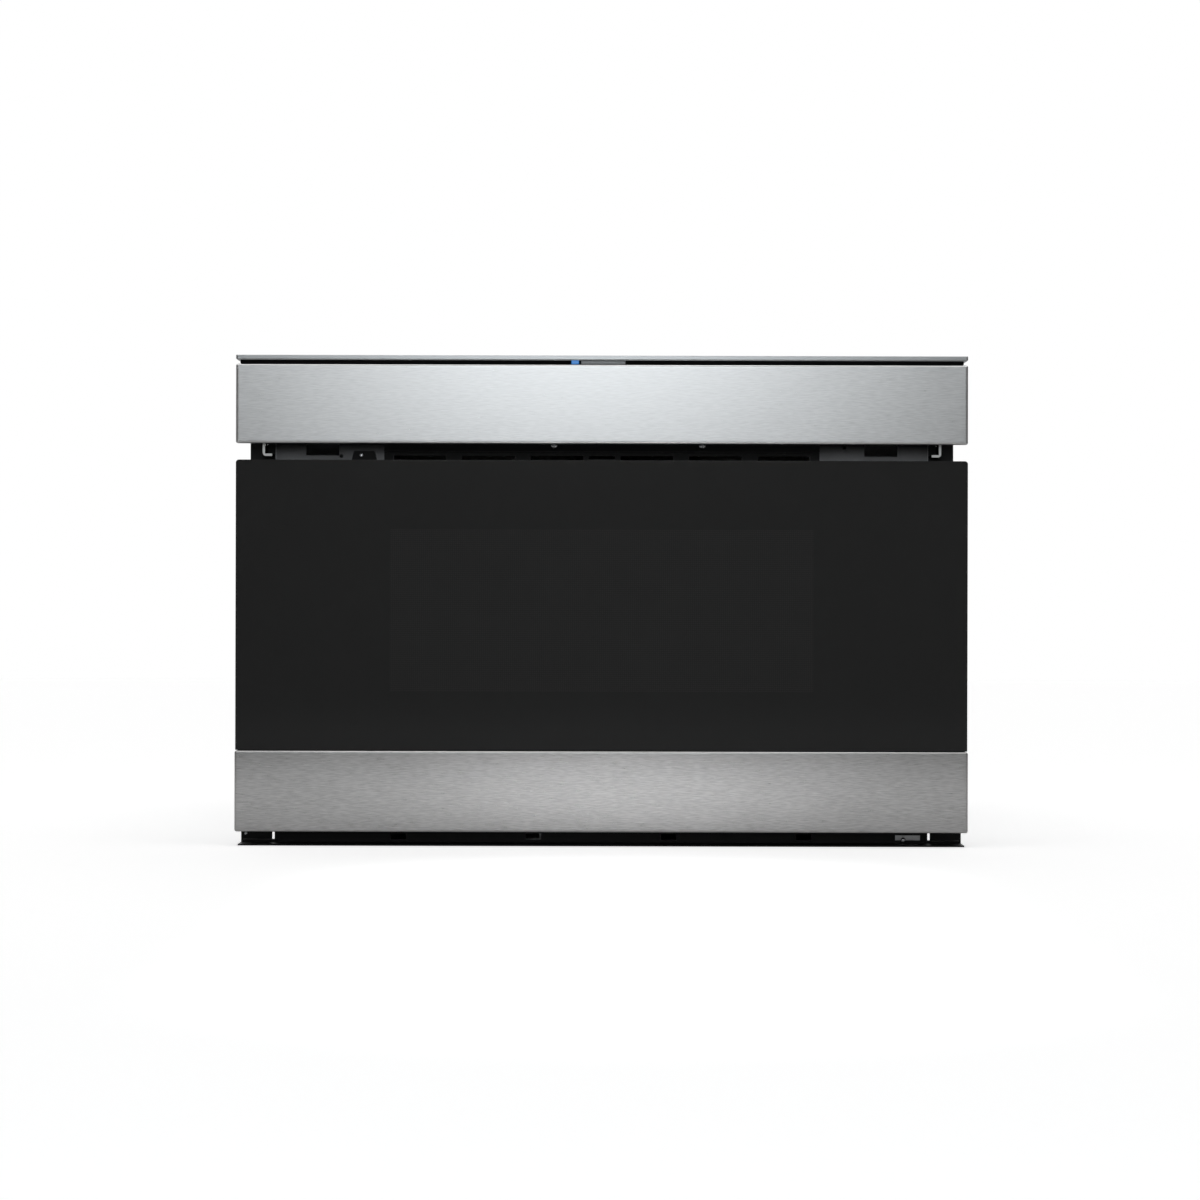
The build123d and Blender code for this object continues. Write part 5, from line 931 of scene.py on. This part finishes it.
def bar(x0, x1, y0, y1):
    """A rectangle's outline."""
    return [(x0, y0), (x1, y0), (x1, y1), (x0, y1)]


signs = {  # outlines in half heights
    "start": [[(-0.7, -1), (1, 0), (-0.7, 1)]],
    "stop": [bar(-0.8, 0.8, -0.8, 0.8)],
    "more": [bar(-1, 1, -THIN, THIN), bar(-THIN, THIN, THIN, 1), bar(-THIN, THIN, -1, -THIN)],
    "less": [bar(-1, 1, -THIN, THIN)],
    "light": [ring_outline(0.55, 24)],
    "pause": [bar(-1, -0.45, -1, 1), bar(0.45, 1, -1, 1)],
    "up": [[(-1, -0.5), (1, -0.5), (0, 0.8)]],
    "down": [[(-1, 0.5), (0, -0.8), (1, 0.5)]],
}
for n, outlines in enumerate(signs.values()):
    x, up = SIGN_X - (n // 2) * KEY_PITCH, KEY_ROWS[n % 2]
    for outline in outlines:
        points, faces = prism(SIGN_HALF * np.array(outline), PRINT_RISE)
        ink_shapes.append((lay_on_glass(points, x, up), faces))
printed("touch_print", ink_shapes, finishes["white_ink"])

# %% [markdown]
# The clock behind the glass is a seven-segment display. A lit segment is a bar with pointed ends, and
# each figure is a choice of the seven, so one function draws every segment.

# %% The clock, in seven segments
SEGMENTS = {"0": "abcdef", "1": "bc", "2": "abged", "3": "abgcd"}
CLOCK = "12:30"
CELL_WIDTH, CELL_HEIGHT, STROKE = 7.5 * MM, 15.0 * MM, 1.6 * MM
CELL_PITCH = 12.5 * MM
SEGMENT_GAP = 0.35 * MM  # at each end of a segment
COLON_HALF = 0.7 * MM  # half the side of each of its dots


def segment_outline(letter):
    """A pointed bar of the figure: a to f go round it from the top, and g is in the middle."""
    w, h, t = CELL_WIDTH / 2, CELL_HEIGHT / 2, STROKE / 2
    ends = {
        "a": ((-w, h), (w, h)), "b": ((w, h), (w, 0)), "c": ((w, 0), (w, -h)), "d": ((-w, -h), (w, -h)),
        "e": ((-w, -h), (-w, 0)), "f": ((-w, 0), (-w, h)), "g": ((-w, 0), (w, 0)),
    }
    a, b = (np.array(end) for end in ends[letter])
    along = (b - a) / np.linalg.norm(b - a)
    across = np.array([-along[1], along[0]]) * t
    a, b = a + along * SEGMENT_GAP, b - along * SEGMENT_GAP
    start, end = a + along * t, b - along * t
    return [a, start - across, end - across, b, end + across, start + across]


clock_shapes = []
for n, letters in enumerate(CLOCK):
    x = (n - (len(CLOCK) - 1) / 2) * CELL_PITCH
    outlines = [segment_outline(s) for s in SEGMENTS.get(letters, "")]
    if letters == ":":
        dot = COLON_HALF * np.array(bar(-1, 1, -1, 1))
        outlines = [dot + (0, CELL_HEIGHT / 5), dot - (0, CELL_HEIGHT / 5)]
    for outline in outlines:
        points, faces = prism(outline, PRINT_RISE)
        clock_shapes.append((lay_on_glass(points, x, 0), faces))
printed("clock_segments", clock_shapes, finishes["blue_lens"])

# %% [markdown]
# The studio is plain: a pale floor, grey walls behind the camera and at its sides, a tall soft lamp in
# front, one overhead, and a narrow one that lights the floor under the front. Brushed steel mirrors the
# tall lamp as a bright middle that fades to the sides. The world is white to the camera and to
# reflections, and gives a lower, even light, so that the picture's white ground costs the object
# nothing.

# %% World
WORLD_LIGHT = 0.42
world = bpy.data.worlds.new("studio")
bpy.context.scene.world = world
world.use_nodes = True
sky = world.node_tree
background = sky.nodes["Background"]
background.inputs["Color"].default_value = (1, 1, 1, 1)
path = sky.nodes.new("ShaderNodeLightPath")
seen = math_node(sky, "MAXIMUM", path.outputs["Is Camera Ray"], path.outputs["Is Glossy Ray"])
seen = math_node(sky, "MAXIMUM", seen, path.outputs["Is Transmission Ray"])
strength = math_node(sky, "ADD", math_node(sky, "MULTIPLY", seen, 1 - WORLD_LIGHT), WORLD_LIGHT)
link(sky, strength, background.inputs["Strength"])
bpy.context.scene.view_settings.view_transform = "Standard"
print("world light", WORLD_LIGHT)


# %% Lamps
def soft_lamp(name, place, target, width, height, watts, colour=(1, 1, 1), spread=180):
    """A rectangular area lamp that faces the target; spread is the angle of its beam."""
    data = bpy.data.lights.new(name, "AREA")
    data.shape = "RECTANGLE"
    data.size, data.size_y = width, height
    data.energy = watts
    data.color = colour
    data.spread = np.radians(spread)
    lamp = bpy.data.objects.new(name, data)
    lamp.location = place
    lamp.rotation_euler = (Vector(target) - Vector(place)).to_track_quat("-Z", "Y").to_euler()
    lamp.visible_camera = False
    bpy.context.scene.collection.objects.link(lamp)
    print(name, watts, "W")


soft_lamp(
    "front_lamp", place=(-0.04, -3.4, 0.92), target=(-0.02, -0.3, 0.36), width=0.72, height=0.84,
    watts=7.3, colour=(0.95, 1.0, 1.03),
)
soft_lamp("top_lamp", place=(0, -0.6, 2.4), target=(0, 0, 0.2), width=1.6, height=1.2, watts=8)
soft_lamp(
    "floor_lamp", place=(0.02, -1.0, 1.5), target=(0.02, -1.01, 0), width=0.06, height=0.9,
    watts=0.88, spread=20,
)

# %% Floor
FLOOR_HALF = 6.0
FLOOR_GLOW = 0.6  # white that only the camera sees, on top of the lamps' light
corners = FLOOR_HALF * np.array([(-1, -1, 0), (1, -1, 0), (1, 1, 0), (-1, 1, 0)])
floor = add_piece("floor", corners, [(0, 1, 2, 3)], smooth=False)
floor_paint = finish(
    "floor_paint", (0.85, 0.85, 0.85), 0.8, Specular_IOR_Level=0.1, Emission_Color=(1, 1, 1, 1)
)
tree = floor_paint.node_tree
camera_ray = tree.nodes.new("ShaderNodeLightPath").outputs["Is Camera Ray"]
glow = math_node(tree, "MULTIPLY", camera_ray, FLOOR_GLOW)
link(tree, glow, tree.nodes["Principled BSDF"].inputs["Emission Strength"])
floor.data.materials.append(floor_paint)
print("floor:", 2 * FLOOR_HALF, "m square")

# %% Walls
WALL_Y = -3.7
WALL_HALF = 5.0
WALL_HEIGHT = 3.0
SIDE_X = 2.6
SIDE_BACK = 0.6
wall_paint = finish("wall_paint", (0.31, 0.3, 0.292), 0.9)


def upright(x0, y0, x1, y1):
    """Corners of a wall that stands on the line between two points of the floor."""
    return [(x0, y0, 0), (x1, y1, 0), (x1, y1, WALL_HEIGHT), (x0, y0, WALL_HEIGHT)]


wall = add_piece("wall", upright(-WALL_HALF, WALL_Y, WALL_HALF, WALL_Y), [(0, 1, 2, 3)], smooth=False)
wall.data.materials.append(wall_paint)
wall.visible_camera = False
for x in (-SIDE_X, SIDE_X):
    side_wall = add_piece("side_wall", upright(x, WALL_Y, x, SIDE_BACK), [(0, 1, 2, 3)], smooth=False)
    side_wall.data.materials.append(wall_paint)
    side_wall.visible_camera = False
print("walls:", WALL_HEIGHT, "m high")
